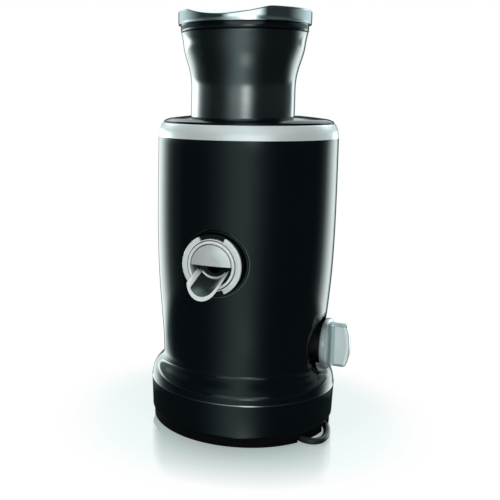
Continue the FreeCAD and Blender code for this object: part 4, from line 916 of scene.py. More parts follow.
@dataclass
class Feed:
    """Feed tube, its chute and the capped pusher, all on the tube's own axis."""

    offset: float = 19.5
    tube_r: float = 54.9
    tube_wall: float = 2.8
    flare: Outline = field(default_factory=lambda: [
        (0.0, 335.5), (0.0, 358.0), (0.5, 377.0), (3.6, 391.0), (8.2, 407.0), (11.3, 424.0)])
    rim_r: float = 66.2
    rim_z: float = 424.0
    chute_r: float = 33.0
    chute_wall: float = 2.5
    chute_low: float = 258.0
    funnel_z: float = 372.0
    plug_r: float = 32.4
    plug_low: float = 259.0
    plug_wall: float = 2.4
    ribs: int = 8
    band_r: float = 66.7
    band_z: float = 425.3
    band_h: float = 7.3
    cap_r: float = 69.5
    cap_top: float = 446.6
    crown: float = 3.35
    cap_wall: float = 3.0
    cap_corner: float = 2.4
    cap_fillet: float = 0.9
    cap_around: int = 192
    scoop_low: float = 439.0
    scoop_r: float = 188.6
    scoop_tilt: float = 7.8

    def build(self) -> None:
        """Make the tube, chute, and the pusher's three pieces."""
        self.axis = Axis(y=-self.offset)
        self._tube()
        self._chute()
        self._plug()
        self._cap()

    def _tube(self) -> None:
        """Hourglass shell."""
        out = smooth_line([(self.tube_r + r, z) for r, z in self.flare], (0, 1), (0.35, 1), 8)
        wall = [(r - self.tube_wall, z) for r, z in reversed(out)]
        form = Form().turned(out + wall, self.axis, 160, True)
        # The tube wears the more reflective black: a painted sheen.
        settle(form.piece("feed_tube_shell", SHEEN_TUBE_BLACK), "lid", "gloss_black", "feed_tube")

    def _chute(self) -> None:
        """Straight chute with a funnel mouth."""
        r, out, z = self.chute_r, self.chute_r + self.chute_wall, self.rim_z
        mouth = self.rim_r - self.tube_wall - 0.3
        inner, lip = mouth - self.chute_wall - 1.2, self.rim_r - 0.4
        line = rounded([(r, self.chute_low, 0.5), (out, self.chute_low, 0.5),
                        (out, self.funnel_z, 6.0), (mouth - 1.2, z - 3.0, 1.0),
                        (mouth - 1.2, z), (lip, z, 0.2), (lip, z + 1.0, 0.4),
                        (inner, z + 1.0, 0.5), (inner, z - 3.0, 1.5),
                        (r, self.funnel_z, 8.0)], 4, True)
        form = Form().turned(line, self.axis, 120, True)
        settle(form.piece("feed_chute_funnel", GLOSS_BLACK), "lid", "gloss_black", "feed_chute")

    def _plug(self) -> None:
        """Hollow ribbed plug in the chute and the band on the tube's rim."""
        r, t, low, top = self.plug_r, self.plug_wall, self.plug_low, self.band_z
        line = rounded([(0, low), (r, low, 2.0), (r, top), (r - t, top), (r - t, low + t, 1.0),
                        (0, low + t)], 5)
        form = Form().turned(line, self.axis, 96)
        rib = rounded([(r - 0.1, low + 8), (r + 0.35, low + 12, 0.3), (r + 0.35, top - 12, 0.3),
                       (r - 0.1, top - 8)], 2, True)
        for k in range(self.ribs):
            form.sector(rib, self.axis, 360 // self.ribs * k, 3.0, 2)
        settle(form.piece("pusher_plug", MATTE_BLACK), "pusher", "matte_black", "pusher_body")
        low, high, r = self.band_z, self.band_z + self.band_h, self.band_r
        band = rounded([(0, low), (r, low, 0.8), (r, high - 0.02, 0.5), (0, high - 0.02)], 4)
        settle(Form().turned(band, self.axis, 160).piece("pusher_band", GLOSS_BLACK),
               "pusher", "gloss_black", "pusher_flange")

    def _height(self, radius: float, angle: float) -> float:
        """Height of the cap's top, which is the lower of its crown and its scoop.

        Args:
            radius: distance from the cap's middle.
            angle: direction from there, in radians.

        Returns:
            The height.
        """
        x, y, tilt = radius * math.cos(angle), radius * math.sin(angle), math.radians(
            self.scoop_tilt)
        side = self.scoop_r - math.sqrt(self.scoop_r ** 2 - x * x)
        scoop = (self.scoop_low + math.sin(tilt) * ((y + self.cap_r) / math.cos(tilt))
                 + side / math.cos(tilt))
        corner, inner = self.cap_corner, self.cap_r - self.cap_corner
        if radius <= inner:
            crown = self.cap_top + self.crown * (1 - (radius / inner) ** 2)
        else:
            over = min(radius - inner, corner)
            crown = self.cap_top - corner + math.sqrt(max(corner ** 2 - over ** 2, 0.0))
        return soft_min(crown, scoop, 1.0)

    def _row(self, radius: float, height: Callable[[float], float]) -> list[Point]:
        """Circle about the cap's middle whose height follows its angle."""
        return [self.axis.at(radius, a, height(a)) for a in spokes(self.cap_around)]

    def _cap(self) -> None:
        """Silver cap whose top dips in a long scoop towards the front."""
        low, out, fillet = self.band_z + self.band_h, self.cap_r, self.cap_fillet
        inside, floor, n = out - self.cap_wall, low + 2.0, self.cap_around
        base = [[self.axis.at(0.0, 0.0, floor)], self.axis.ring(inside * 0.5, floor, n),
                self.axis.ring(inside, floor, n), self.axis.ring(inside, low, n)]
        side = [self.axis.ring(out - 0.2, low, n)]
        for share in (0.0, 0.1, 0.3, 0.6, 0.85, 1.0):
            side.append(self._row(
                out - 0.2 * (1 - min(1.0, 3 * share)),
                lambda a, s=share: low + 0.3 + s * (self._height(out - 0.02, a) - fillet
                                                    - low - 0.3)))
        edge = [(out - fillet * (1 - math.cos(t)), fillet * (1 - math.sin(t)))
                for t in (0.3, 0.6, 0.9, 1.2, 1.5)]
        side += [self._row(r, lambda a, r=r, d=drop: self._height(min(r, out - fillet), a) - d)
                 for r, drop in edge]
        radii = [out - v for v in (1.1, 1.4, 1.8, 2.2, 2.6, 3.2, 4.2, 5.5)]
        radii += list(np.linspace(out - 7.5, 2.0, 34))
        top = [self._row(r, lambda a, r=r: self._height(r, a)) for r in radii]
        top.append([self.axis.at(0.0, 0.0, self._height(0.0, 0.0))])
        form = Form()
        index = form.skin(base + side + top)
        last = len(base) + len(side) + 2
        # The rows round the rim's rounded edge wear the darkened chrome: a painted shade line along
        # the rim.
        form.mark_within({number for row in index[last - len(edge) - 2:last] for number in row})
        settle(form.piece("pusher_cap_silver", BRIGHT_CHROME, 50.0, PAINTED_SHADE_CHROME), "pusher",
               "bright_chrome", "pusher_cap")


# ---- spout
@dataclass
class Spout:
    """Turning drip-stop spout: drum, bezel, collar, hood and trough."""

    z: float = 192.0
    back: float = 88.3
    face: float = 97.0
    rim: float = 103.5
    bezel_r: float = 31.3
    bezel_in: float = 25.9
    bezel_t: float = 2.9
    line: float = 0.8
    gap: float = 27.0
    ring_r: float = 24.8
    ring_in: float = 22.2
    ring_face: float = 108.0
    hood_r: float = 21.1
    hood_t: float = 2.0
    hood_crown: float = 1.6
    tail_r: float = 14.0
    tail_end: float = 80.0
    tail_bore: float = 9.0
    half: float = 17.0
    depth: float = 12.6
    slope: float = 18.0
    rim_z: float = 187.7
    tip: float = 128.6
    beak: float = 10.9
    land: float = 0.7
    bevel_w: float = 3.9
    bevel_h: float = 3.2
    floor: float = 9.3
    outside: int = 32
    bead: float = 1.3
    bead_end: float = 1.6
    bead_below: float = -3.4

    def build(self) -> None:
        """Make the spout's pieces."""
        self.axis = Axis(Facing.FRONT, z=self.z)
        self._drum()
        self._bezel()
        self._collar()
        self._hood_and_trough()

    def _drum(self) -> None:
        """Black core in the recess, with its tail and the cheeks beside the trough."""
        line = rounded([(self.tail_bore, self.tail_end, 0.4), (self.tail_r, self.tail_end, 0.6),
                        (self.tail_r, self.back), (self.bezel_r, self.back, 0.4),
                        (self.bezel_r, self.rim, 0.3), (self.bezel_in, self.rim, 0.2),
                        (self.bezel_in, self.face, 0.5), (self.tail_bore, self.face, 0.5)], 4, True)
        form = Form().turned(line, self.axis, 120, True)
        cheek_top = self.z + 2.4
        for sign in (-1, 1):
            for x0, x1, z0 in ((self.half - 2.2, self.half, self.rim_z - 3.0),
                               (self.half, self.hood_r - 0.9, self.z + 0.4)):
                corners = [(sign * x0, z0), (sign * x1, z0), (sign * x1, cheek_top),
                           (sign * x0, cheek_top)]
                form.prism(corners, lambda u, v, w: (u, -w, v),
                           [self.face - 0.5, self.face + 2.9])
        settle(form.piece("spout_drum", GLOSS_BLACK), "spout", "matte_black", "spout_barrel")

    def _bezel(self) -> None:
        """Thin bright line with two broad arcs."""
        top, r0 = self.rim + self.bezel_t, self.bezel_in
        form = Form().turned(rounded([
            (r0 + self.line, self.rim), (r0 + self.line, top, 0.3), (r0, top, 0.3),
            (r0, self.rim)], 4, True), self.axis, 144, True)
        arc = rounded([(self.bezel_r, self.rim), (self.bezel_r, top - 0.1, 0.7),
                       (r0 + 0.2, top - 0.02, 0.5), (r0 + 0.2, self.rim)], 5, True)
        span = 180 - 2 * self.gap
        for middle in (0, 180):
            form.sector(arc, self.axis, middle - span / 2, span, 60)
        settle(form.piece("spout_bezel_arcs", SILVER_TRIM), "spout", "bright_chrome",
               "spout_bezel")

    def _collar(self) -> None:
        """Bright ring round the hood."""
        line = rounded([(self.ring_in, self.face), (self.ring_r, self.face),
                        (self.ring_r, self.ring_face, 0.9), (self.ring_in, self.ring_face, 0.7)],
                       5, True)
        form = Form().turned(line, self.axis, 144, True)
        settle(form.piece("spout_collar_ring", SILVER_TRIM), "spout", "bright_chrome",
               "spout_collar")

    @staticmethod
    def _bow(half: float, sag: float, top: float, steps: int, side: int) -> Outline:
        """Arc that hangs between two points level with each other.

        Args:
            half: half the distance between them.
            sag: how far it hangs down.
            top: the points' height.
            steps: straight pieces in it.
            side: 1 where it starts on the right, -1 where it starts on the left.

        Returns:
            The arc's points.
        """
        radius = (half ** 2 + sag ** 2) / (2 * sag)
        reach = side * math.asin(half / radius)
        angles = [reach - 2 * reach * k / steps for k in range(steps + 1)]
        return [(radius * math.sin(a), top + radius - sag - radius * math.cos(a))
                for a in angles]

    def _section(self) -> Outline:
        """Closed cross section of the trough with its bevelled rims.

        Returns:
            The outside from left to right, and then the inside back.
        """
        half = self.half - self.land
        inside = self._bow(half - self.bevel_w, self.floor - self.bevel_h, -self.bevel_h, 24, 1)
        return [*self._bow(self.half, self.depth, 0.0, self.outside, -1),
                (half + 0.15, 0.0), (half, -0.1), *inside, (-half, -0.1), (-half - 0.15, 0.0)]

    def _placed(self, x: float, up: float, along: float) -> Point:
        """Point of the trough, which slopes down and ends in a beak.

        Args:
            x: distance to the right.
            up: height above the rims, square to the slope.
            along: distance down the slope.

        Returns:
            The point in the frame of the whole juicer.
        """
        slope, deep = math.radians(self.slope), max(0.0, -up)
        reach = (self.tip - self.face) / math.cos(slope)
        start = deep * math.tan(slope)
        ahead = start + (reach - start) * along / reach
        if along >= reach:
            ahead = reach + self.beak * (deep / self.depth)
        return (x, -self.face - ahead * math.cos(slope) - up * math.sin(slope),
                self.rim_z - ahead * math.sin(slope) + up * math.cos(slope))

    def _hood_and_trough(self) -> None:
        """Half dome over the outlet, and the open channel below it with a bead at its root."""
        front = self.ring_face - 0.8
        inner, mid = self.hood_r - self.hood_t, self.hood_r * 0.5
        line = rounded([(0.0, front + self.hood_crown), (mid, front + 0.75 * self.hood_crown, 6.0),
                        (self.hood_r, front, 0.9), (self.hood_r, self.face),
                        (inner, self.face), (inner, front - self.hood_t, 0.6),
                        (0.0, front - self.hood_t)], 5)
        hood = Form().sector(line, self.axis, 0.0, 180.0, 64)
        settle(hood.piece("spout_hood", SATIN_HOOD, 28.0), "spout", "bright_chrome")
        form, section, first = Form(), self._section(), self.outside + 1
        reach = (self.tip - self.face) / math.cos(math.radians(self.slope))
        stations = [0.0, self.bead_end, 2.0, *np.linspace(3.0, reach - 1.0, 12), reach]
        rows = []
        for along in stations:
            lift = self.bead if along <= self.bead_end else 0.0
            rows.append([self._placed(
                x, min(up + lift, 0.0) if i >= first and up < self.bead_below else up, along)
                for i, (x, up) in enumerate(section)])
        index = form.skin(rows)
        for end in (index[0], index[-1]):
            self._close(form, end[:first], end[first:])
        # The channel's inside wears the darkened chrome: painted shade inside the open channel.
        form.mark_within({number for row in index[2:] for number in row[first + 2:-2]})
        settle(form.piece("spout_trough", SILVER_TRIM, 28.0, TROUGH_SHADE_CHROME), "spout",
               "bright_chrome", "spout")

    @staticmethod
    def _close(form: Form, outer: list[int], inner: list[int]) -> None:
        """Close an end of the trough.

        Args:
            form: gathers the faces.
            outer: numbers of the points on its outside.
            inner: numbers of the points on its inside, the other way round.
        """
        n, m = len(outer) - 1, len(inner) - 1
        back = inner[::-1]
        for k in range(n):
            a, b = round(k * m / n), round((k + 1) * m / n)
            form.face(outer[k], outer[k + 1], *[back[i] for i in range(b, a - 1, -1)])


# ---- knob
@dataclass
class Knob:
    """Silver switch knob with its grip bar, on a black hub."""

    z: float = 95.0
    floor: float = 72.3
    back: float = 93.0
    face: float = 99.0
    radius: float = 27.5
    crown: float = 1.6
    hub_r: float = 16.0
    grip_len: float = 47.0
    grip_w: float = 8.0
    root_w: float = 15.0
    grip_out: float = 120.98
    end_out: float = 116.5
    edge: float = 1.2
    grip_rows: int = 32

    def build(self) -> None:
        """Make the hub, the knob and its pointer mark."""
        self.axis = Axis(Facing.SIDE, z=self.z)
        hub = rounded([(0, self.floor), (self.hub_r, self.floor, 0.4),
                       (self.hub_r, self.back - 0.02), (0, self.back - 0.02)], 4)
        settle(Form().turned(hub, self.axis, 96).piece("knob_hub_black", MATTE_BLACK), "knob",
               "matte_black", "knob_hub")
        disc = rounded([(0, self.back), (self.radius, self.back, 1.5),
                        (self.radius, self.face, 1.1),
                        (self.radius * 0.5, self.face + 0.7 * self.crown, 8.0),
                        (0, self.face + self.crown)], 6)
        form = Form()
        form.mark = 1
        form.turned(disc, self.axis, 144)
        self._grip(form)
        settle(form.piece("knob_disc_and_grip", KNOB_SILVER, other=KNOB_GREY), "knob",
               "bright_chrome", "knob")
        self._pointer()

    def _grip(self, form: Form) -> None:
        """Tall bar with a bowed outer edge and a flared root.

        Args:
            form: gathers the faces.
        """
        half, root, e = self.grip_len / 2, self.face - 1.0, self.edge
        bulge = self.grip_out - self.end_out
        bow = (half * half + bulge * bulge) / (2 * bulge)
        rows = []
        for k in range(self.grip_rows + 1):
            v = -1 + 2 * k / self.grip_rows
            end = 1.2 * (1 - math.sqrt(max(0.0, 1 - max(0.0, (abs(v) - 0.94) / 0.06) ** 2)))
            z = v * half
            out = self.grip_out - bow + math.sqrt(bow * bow - z * z) - end
            w = self.grip_w / 2 - end * 0.7
            flank = [(root, self.root_w / 2 - end), (root + 1.2, self.root_w / 2 - 1.3 - end),
                     (root + 2.6, w + 1.2), (root + 4.6, w + 0.35), (root + 7.0, w),
                     (out - 4, w), (out - e, w), (out - 0.36 * e, w - 0.36 * e), (out, w - e)]
            line = [*flank, (out, 0.0), *[(x, -y) for x, y in reversed(flank)]]
            rows.append([(x, y, self.z + z) for x, y in line])
        first = len(form.faces)
        index = form.skin(rows)
        form.ends(index)
        form.mark_within({number for row in index[2:-2] for number in row[4:15]}, 0, 1, first)

    def _pointer(self) -> None:
        """Small black mark let into the disc below the bar."""
        start, end, top = self.radius - 4.6, self.radius - 0.02, self.face
        form = Form().sector([(start, top - 0.6), (end, top - 0.6), (end, top - 0.55),
                              (start, top + 0.42)], self.axis, 248.0, 9.0, 6)
        settle(form.piece("knob_pointer_mark", MATTE_BLACK), "knob", "matte_black")


# ---- mains lead
@dataclass
class Lead:
    """Mains lead from the gland under the base to its coil and plug behind the juicer."""

    diameter: float = 7.0
    route: list[Point] = field(default_factory=lambda: [
        (66.0, -40.0, 5.2), (72.5, -45.0, 4.6), (79.5, -50.0, 4.0), (88.0, -54.2, 3.7),
        (97.0, -54.5, 3.6), (104.0, -48.5, 3.6), (106.3, -38.5, 3.6), (105.5, -26.0, 3.6),
        (102.0, -13.0, 3.6), (96.0, 0.0, 3.6), (87.0, 14.0, 3.6), (74.0, 30.0, 3.6),
        (57.0, 47.0, 3.6), (39.0, 62.0, 3.6), (22.0, 78.0, 3.6), (8.0, 96.0, 3.6),
        (-2.0, 115.0, 3.6), (-7.0, 132.0, 3.6)])
    tail: list[Point] = field(default_factory=lambda: [
        (-100.6, 138.5, 9.9), (-103.4, 130.0, 8.9), (-106.8, 121.0, 7.8), (-109.8, 111.0, 7.1),
        (-110.8, 103.0, 7.0)])
    coil_at: tuple[float, float] = (-52.0, 160.0)
    wide_r: float = 43.4
    tight_r: float = 36.5
    low_z: float = 3.6
    high_z: float = 10.6
    first_turn: float = -17.8
    turns: float = 3.55
    coil_start: float = 0.04
    inward: Span = (0.72, 0.98)
    climb: Span = (1.60, 1.82)
    outward: Span = (2.33, 2.60)
    release: Span = (3.30, 3.60)
    per_turn: int = 14
    length: float = 1.27
    ribs: int = 7
    plug: list[Point] = field(default_factory=lambda: [
        (0.0, 3.9, 3.9), (0.5, 4.2, 4.2), (4.0, 4.4, 4.4), (4.6, 4.0, 4.0), (5.4, 4.0, 4.0),
        (6.0, 4.7, 4.6), (9.0, 4.9, 4.8), (9.6, 4.4, 4.4), (10.4, 4.4, 4.4), (11.0, 5.2, 5.0),
        (15.0, 5.6, 5.2), (18.0, 6.4, 5.8), (22.0, 10.0, 6.4), (28.0, 15.0, 6.7),
        (32.0, 17.2, 6.75), (38.0, 17.0, 6.75), (46.0, 15.6, 6.6), (51.0, 14.4, 6.3),
        (52.0, 13.6, 5.6)])

    def _coil(self) -> list[Point]:
        """Control points of the wound turns, in two layers of two.

        Returns:
            The points, from the lead's run to its tail.
        """
        out, count = [], round(self.turns * self.per_turn)
        gap = self.wide_r - self.tight_r
        for k in range(count + 1):
            t = self.coil_start + (self.turns - self.coil_start) * k / count
            radius = (self.wide_r - gap * ramp(t, *self.inward) + gap * ramp(t, *self.outward)
                      + gap * ramp(t, *self.release))
            height = self.low_z + (self.high_z - self.low_z) * ramp(t, *self.climb)
            a = math.radians(self.first_turn + 360.0 * t)
            swell = radius / math.cos(math.pi / self.per_turn)
            out.append((self.coil_at[0] + swell * math.cos(a),
                        self.coil_at[1] + swell * math.sin(a), height))
        return out

    def build(self) -> None:
        """Lay the lead, its strain relief, tie and plug."""
        line = bpy.data.curves.new("mains_lead", "CURVE")
        line.dimensions = "3D"
        points = [tuple(c * MM for c in p) for p in self.route + self._coil() + self.tail]
        spline = line.splines.new("NURBS")
        spline.points.add(len(points) - 1)
        for point, place in zip(spline.points, points):
            point.co = (*place, 1.0)
        spline.order_u = 3
        spline.use_endpoint_u = True
        spline.resolution_u = 6
        line.bevel_depth = self.diameter / 2 * MM
        line.bevel_resolution = 5
        line.use_fill_caps = True
        line.materials.append(CORD_RUBBER.material())
        lead = placed("mains_lead", line)
        settle(lead, "base", "cord_rubber", "cord_tube", "cord_coil", "cord_tail")
        relief = self._relief()
        tie = self._tie()
        plug = self._plug()

    def _relief(self) -> bpy.types.Object:
        """Ribbed, tapered sleeve at the gland.

        Returns:
            The sleeve.
        """
        start, end = Vector((50.0, -28.0, 5.2)), Vector(self.route[0])
        along = end - start
        total = along.length
        along.normalize()
        side, up = along.cross(Vector((0, 0, 1))), Vector((0, 0, 1))
        line = [(0.0, 0.0)]
        for k in range(self.ribs):
            low, high = total * k / self.ribs, total * (k + 0.62) / self.ribs
            r = 4.95 - 0.8 * k / self.ribs
            line += [(r, low), (r, high), (r - 0.5, high + 0.15),
                     (r - 0.5, total * (k + 1) / self.ribs - 0.15)]
        line += [(3.7, total), (0.0, total)]
        form = Form().covered([[tuple(start + along * h + side * (r * math.cos(a))
                                      + up * (r * math.sin(a)))
                                for a in (spokes(32) if r > 0 else [0.0])] for r, h in line])
        return settle(form.piece("strain_relief_sleeve", SOFT_RUBBER), "base", "cord_rubber",
                      "strain_relief")

    def _tie(self) -> bpy.types.Object:
        """Soft strap round the coil's turns.

        Returns:
            The strap.
        """
        x, y = self.coil_at[0], self.coil_at[1] + 40.0
        loops = []
        for inset in (0.0, 1.0):
            half, low, high = 8.1 - inset, 0.05 + inset, 15.25 - inset
            loops.append(rounded([(-half, low, 3.0 - 0.6 * inset), (half, low, 3.0 - 0.6 * inset),
                                  (half, high, 3.6 - 0.6 * inset),
                                  (-half, high, 3.6 - 0.6 * inset)], 6, True))
        outside, inside = loops
        form = Form().covered([[(x + w, y + u, v) for u, v in loop] for w, loop in (
            (-4.5, outside), (4.5, outside), (4.5, inside), (-4.5, inside))], True)
        return settle(form.piece("cord_tie_strap", SOFT_RUBBER), "base", "matte_black", "cord_tie")

    def _plug(self) -> bpy.types.Object:
        """Flat two-pin plug with a ribbed boot.

        Returns:
            The plug.
        """
        x, y, z = self.tail[-1]
        rows = []
        for back, wide, thick in self.plug:
            power = 2.0 + 2.4 * min(1.0, max(0.0, (back - 16.0) / 10.0))
            rows.append([(x + math.copysign(abs(math.cos(a)) ** (2 / power), math.cos(a)) * wide,
                          y - back,
                          z + math.copysign(abs(math.sin(a)) ** (2 / power), math.sin(a)) * thick)
                         for a in spokes(48)])
        form = Form().covered([[(x, y, z)], *rows, [(x, y - self.plug[-1][0], z)]])
        return settle(form.piece("plug_body", CORD_RUBBER, 40.0), "base", "cord_rubber", "plug")


# ---- repeated detail
class Repeater(Wiring):
    """Small copies of one shape, placed by a tree of geometry nodes."""

    def __init__(self, name: str, finish: Finish) -> None:
        """Start a tree.

        Args:
            name: its name and that of the piece it makes.
            finish: what the copies wear.
        """
        super().__init__(bpy.data.node_groups.new(name, "GeometryNodeTree"))
        self.name, self.finish = name, finish
        for way in ("INPUT", "OUTPUT"):
            self.tree.interface.new_socket("Geometry", in_out=way,
                                           socket_type="NodeSocketGeometry")
        self.values: dict[str, float] = {}
        self.start = self.tree.nodes.new("NodeGroupInput")
        self.end = self.tree.nodes.new("NodeGroupOutput")

    def size(self, name: str, value: float) -> None:
        """Add a named input.

        Args:
            name: its name.
            value: its value, which also says whether it takes whole numbers.
        """
        kind = "NodeSocketInt" if isinstance(value, int) else "NodeSocketFloat"
        socket = self.tree.interface.new_socket(name, in_out="INPUT", socket_type=kind)
        self.values[socket.identifier] = value

    def input(self, name: str) -> bpy.types.NodeSocket:
        """Socket of a named input."""
        return self.start.outputs[name]

    def mesh(self, base: bpy.types.Object, copies: bpy.types.NodeSocket,
             joined: bool) -> bpy.types.Object:
        """Finish the tree, run it and return a plain object.

        Args:
            base: the object that the tree starts from.
            copies: the instances.
            joined: whether the base's own mesh stays in the result.

        Returns:
            The new object; the base is removed.
        """
        last = self.node("GeometryNodeRealizeInstances", Geometry=copies).outputs["Geometry"]
        if joined:
            join = self.node("GeometryNodeJoinGeometry", Geometry=last)
            last = self.fill(join, Geometry=self.input("Geometry")).outputs["Geometry"]
        dress = self.node("GeometryNodeSetMaterial", Material=self.finish.material(),
                          Geometry=last)
        self.fill(self.end, Geometry=dress.outputs["Geometry"])
        live = base.modifiers.new(self.name, "NODES")
        live.node_group = self.tree
        for identifier, value in self.values.items():
            live[identifier] = value
        mesh = bpy.data.meshes.new_from_object(
            base.evaluated_get(bpy.context.evaluated_depsgraph_get()))
        mesh.name = self.name
        bpy.data.objects.remove(base)
        mesh.materials.clear()
        mesh.materials.append(self.finish.material())
        mesh.shade_smooth()
        mesh.set_sharp_from_angle(angle=math.radians(35))
        return placed(self.name, mesh)

    def circle(self, radius: Socket | float) -> Socket:
        """Socket with a circle of as many points as the input Around says."""
        return self.node("GeometryNodeMeshCircle", Vertices=self.input("Around"),
                         Radius=radius).outputs["Mesh"]

    def moved(self, geometry: Socket, turn: float, rise: float = 0.0) -> Socket:
        """Socket with a geometry turned about the axis, in radians, and raised."""
        return self.node("GeometryNodeTransform", Geometry=geometry,
                         Translation=(0.0, 0.0, rise),
                         Rotation=(0.0, 0.0, turn)).outputs["Geometry"]

    def on_points(self, points: Socket, instance: Socket, **inputs: object) -> Socket:
        """Socket with an instance on every point."""
        return self.node("GeometryNodeInstanceOnPoints", Points=points, Instance=instance,
                         **inputs).outputs["Instances"]


@dataclass
class JuicePath:
    """Sieve basket with its perforated wall, and the grater disc with its teeth."""

    floor_z: float = 248.0
    floor_r: float = 59.5
    floor_t: float = 3.0
    top_r: float = 66.0
    top_z: float = 299.0
    lip_r: float = 76.0
    lip_t: float = 2.0
    wall: float = 1.6
    socket_r: float = 13.0
    skirt_r: float = 22.5
    skirt_low: float = 235.0
    grater_r: float = 56.0
    grater_z: float = 251.0
    grater_t: float = 1.6
    tooth: float = 1.4
    tooth_rings: tuple[float, ...] = (12.0, 20.0, 28.0, 36.0, 44.0, 51.0)
    rows: int = 13
    around: int = 110
    pitch: float = 3.2

    def build(self) -> None:
        """Make the basket and the disc."""
        self._basket()
        self._disc()

    def _basket(self) -> None:
        """Basket with its skirt, and rings of small beads where its wall has holes."""
        top = self.top_z + self.lip_t
        line = rounded([(self.socket_r, self.floor_z), (self.floor_r, self.floor_z, 1.5),
                        (self.top_r, self.top_z, 1.0), (self.lip_r, self.top_z, 0.4),
                        (self.lip_r, top, 0.8), (self.top_r - self.wall, top, 1.2),
                        (self.floor_r - self.wall, self.floor_z + self.floor_t, 1.5),
                        (self.socket_r, self.floor_z + self.floor_t)], 4, True)
        skirt = [(self.skirt_r, self.skirt_low), (self.skirt_r, self.floor_z + 1),
                 (self.skirt_r - 2, self.floor_z + 1), (self.skirt_r - 2, self.skirt_low)]
        form = Form().turned(line, Axis(), 144, True)
        form.turned(skirt, Axis(), 72, True)
        base = form.piece("basket_blank", STEEL)
        rep = Repeater("sieve_basket_wall", STEEL)
        rep.size("Rows", self.rows)
        rep.size("Around", self.around)
        rep.size("Hole radius", 0.85 * MM)
        rep.size("Low radius", (self.floor_r - self.wall + 0.55) * MM)
        bead = rep.node("GeometryNodeMeshUVSphere", Segments=6, Rings=4,
                        Radius=rep.input("Hole radius"))
        beads = rep.on_points(rep.circle(rep.input("Low radius")), bead.outputs["Mesh"])
        settle(rep.mesh(base, self._stack(rep, beads), True), "basket", "steel", "sieve_basket")

    def _stack(self, rep: Repeater, ring: Socket) -> Socket:
        """Stack one ring of beads up the wall, each wider and turned half a step.

        Args:
            rep: the tree.
            ring: the lowest ring.

        Returns:
            The rings as instances.
        """
        line = rep.node("GeometryNodeMeshLine", Count=rep.input("Rows"),
                        Start_Location=(0.0, 0.0, (self.floor_z + 8.0) * MM),
                        Offset=(0.0, 0.0, self.pitch * MM))
        index = rep.node("GeometryNodeInputIndex").outputs["Index"]
        slope = (self.top_r - self.floor_r) / (self.top_z - self.floor_z) * self.pitch
        wide = rep.maths("ADD", rep.maths("MULTIPLY", index, slope / self.floor_r),
                         1.0 + slope * 2.5 / self.floor_r)
        scale = rep.node("ShaderNodeCombineXYZ", X=wide, Y=wide, Z=1.0)
        turn = rep.node("ShaderNodeCombineXYZ", X=0.0, Y=0.0,
                        Z=rep.maths("MULTIPLY", index, math.pi / self.around))
        return rep.on_points(line.outputs["Mesh"], ring, Rotation=turn.outputs["Vector"],
                             Scale=scale.outputs["Vector"])

    def _disc(self) -> None:
        """Disc with rings of small pointed teeth."""
        z = self.grater_z + self.grater_t
        form = Form().turned(rounded([(0, self.grater_z), (self.grater_r, self.grater_z),
                                      (self.grater_r, z, 0.5), (0, z)], 3), Axis(), 120)
        base = form.piece("grater_blank", STEEL)
        rep = Repeater("grater_disc_teeth", STEEL)
        rep.size("Tooth height", self.tooth * MM)
        rep.size("Tooth radius", 1.5 * MM)
        rep.size("Around", 12)
        tooth = rep.node("GeometryNodeMeshCone", Vertices=6, Radius_Top=0.25 * MM,
                         Radius_Bottom=rep.input("Tooth radius"), Depth=rep.input("Tooth height"))
        every = rep.node("GeometryNodeJoinGeometry")
        for i, radius in enumerate(self.tooth_rings):
            ring = rep.moved(rep.circle(radius * MM), math.radians(9.0 * i), (z - 0.05) * MM)
            rep.fill(every, Geometry=rep.on_points(ring, tooth.outputs["Mesh"]))
        settle(rep.mesh(base, every.outputs["Geometry"], True), "basket", "steel", "grater_disc")


class Screws:
    """Cross-head screws under the base."""

    def build(self) -> None:
        """Make the four screws."""
        line = rounded([(0, 8.2), (4.0, 8.2, 0.9), (4.0, 10.7), (1.7, 10.7), (1.7, 22.0, 0.8),
                        (0, 22.0)], 4)
        blank = Form().turned(line, Axis(), 20)
        cross = [(-2.2, -0.35), (2.2, -0.35), (2.2, 0.35), (-2.2, 0.35)]
        for turn in (0.0, 90.0):
            c, s = math.cos(math.radians(turn)), math.sin(math.radians(turn))
            blank.prism(cross, lambda u, v, w, c=c, s=s: (u * c - v * s, u * s + v * c, w),
                        [8.15, 8.25])
        shape = blank.piece("screw_blank", DRAWN_STEEL)
        base = placed("screw_base", bpy.data.meshes.new("screw_base"))
        rep = Repeater("base_screw_set", DRAWN_STEEL)
        rep.size("Around", 4)
        rep.size("Circle radius", 53.7 * math.sqrt(2) * MM)
        source = rep.node("GeometryNodeObjectInfo", Object=shape)
        ring = rep.moved(rep.circle(rep.input("Circle radius")), math.pi / 4)
        made = rep.mesh(base, rep.on_points(ring, source.outputs["Geometry"]), False)
        bpy.data.objects.remove(shape)
        settle(made, "base", "steel", "base_screws")


# ---- inner pieces
class Inside:
    """Pieces whose own shape stays, dressed by their place in the record."""

    def build(self) -> None:
        """Dress every node that still shows its own mesh."""
        special = {"spout_seal": GREY_RUBBER, "tie_bolts": DRAWN_STEEL,
                   "interlock_rod": DRAWN_STEEL, "foot_ring": SOFT_RUBBER}
        for part in frame["record"]["subparts"]:
            node = frame["nodes"][part["node"]]
            if node.hide_render:
                continue
            finish = special.get(part["node"], DRESSED[part["material_slot"]])
            node.data.materials.clear()
            node.data.materials.append(finish.material())
            LOG.info("%s keeps its shape and wears %s", part["node"], finish.name)


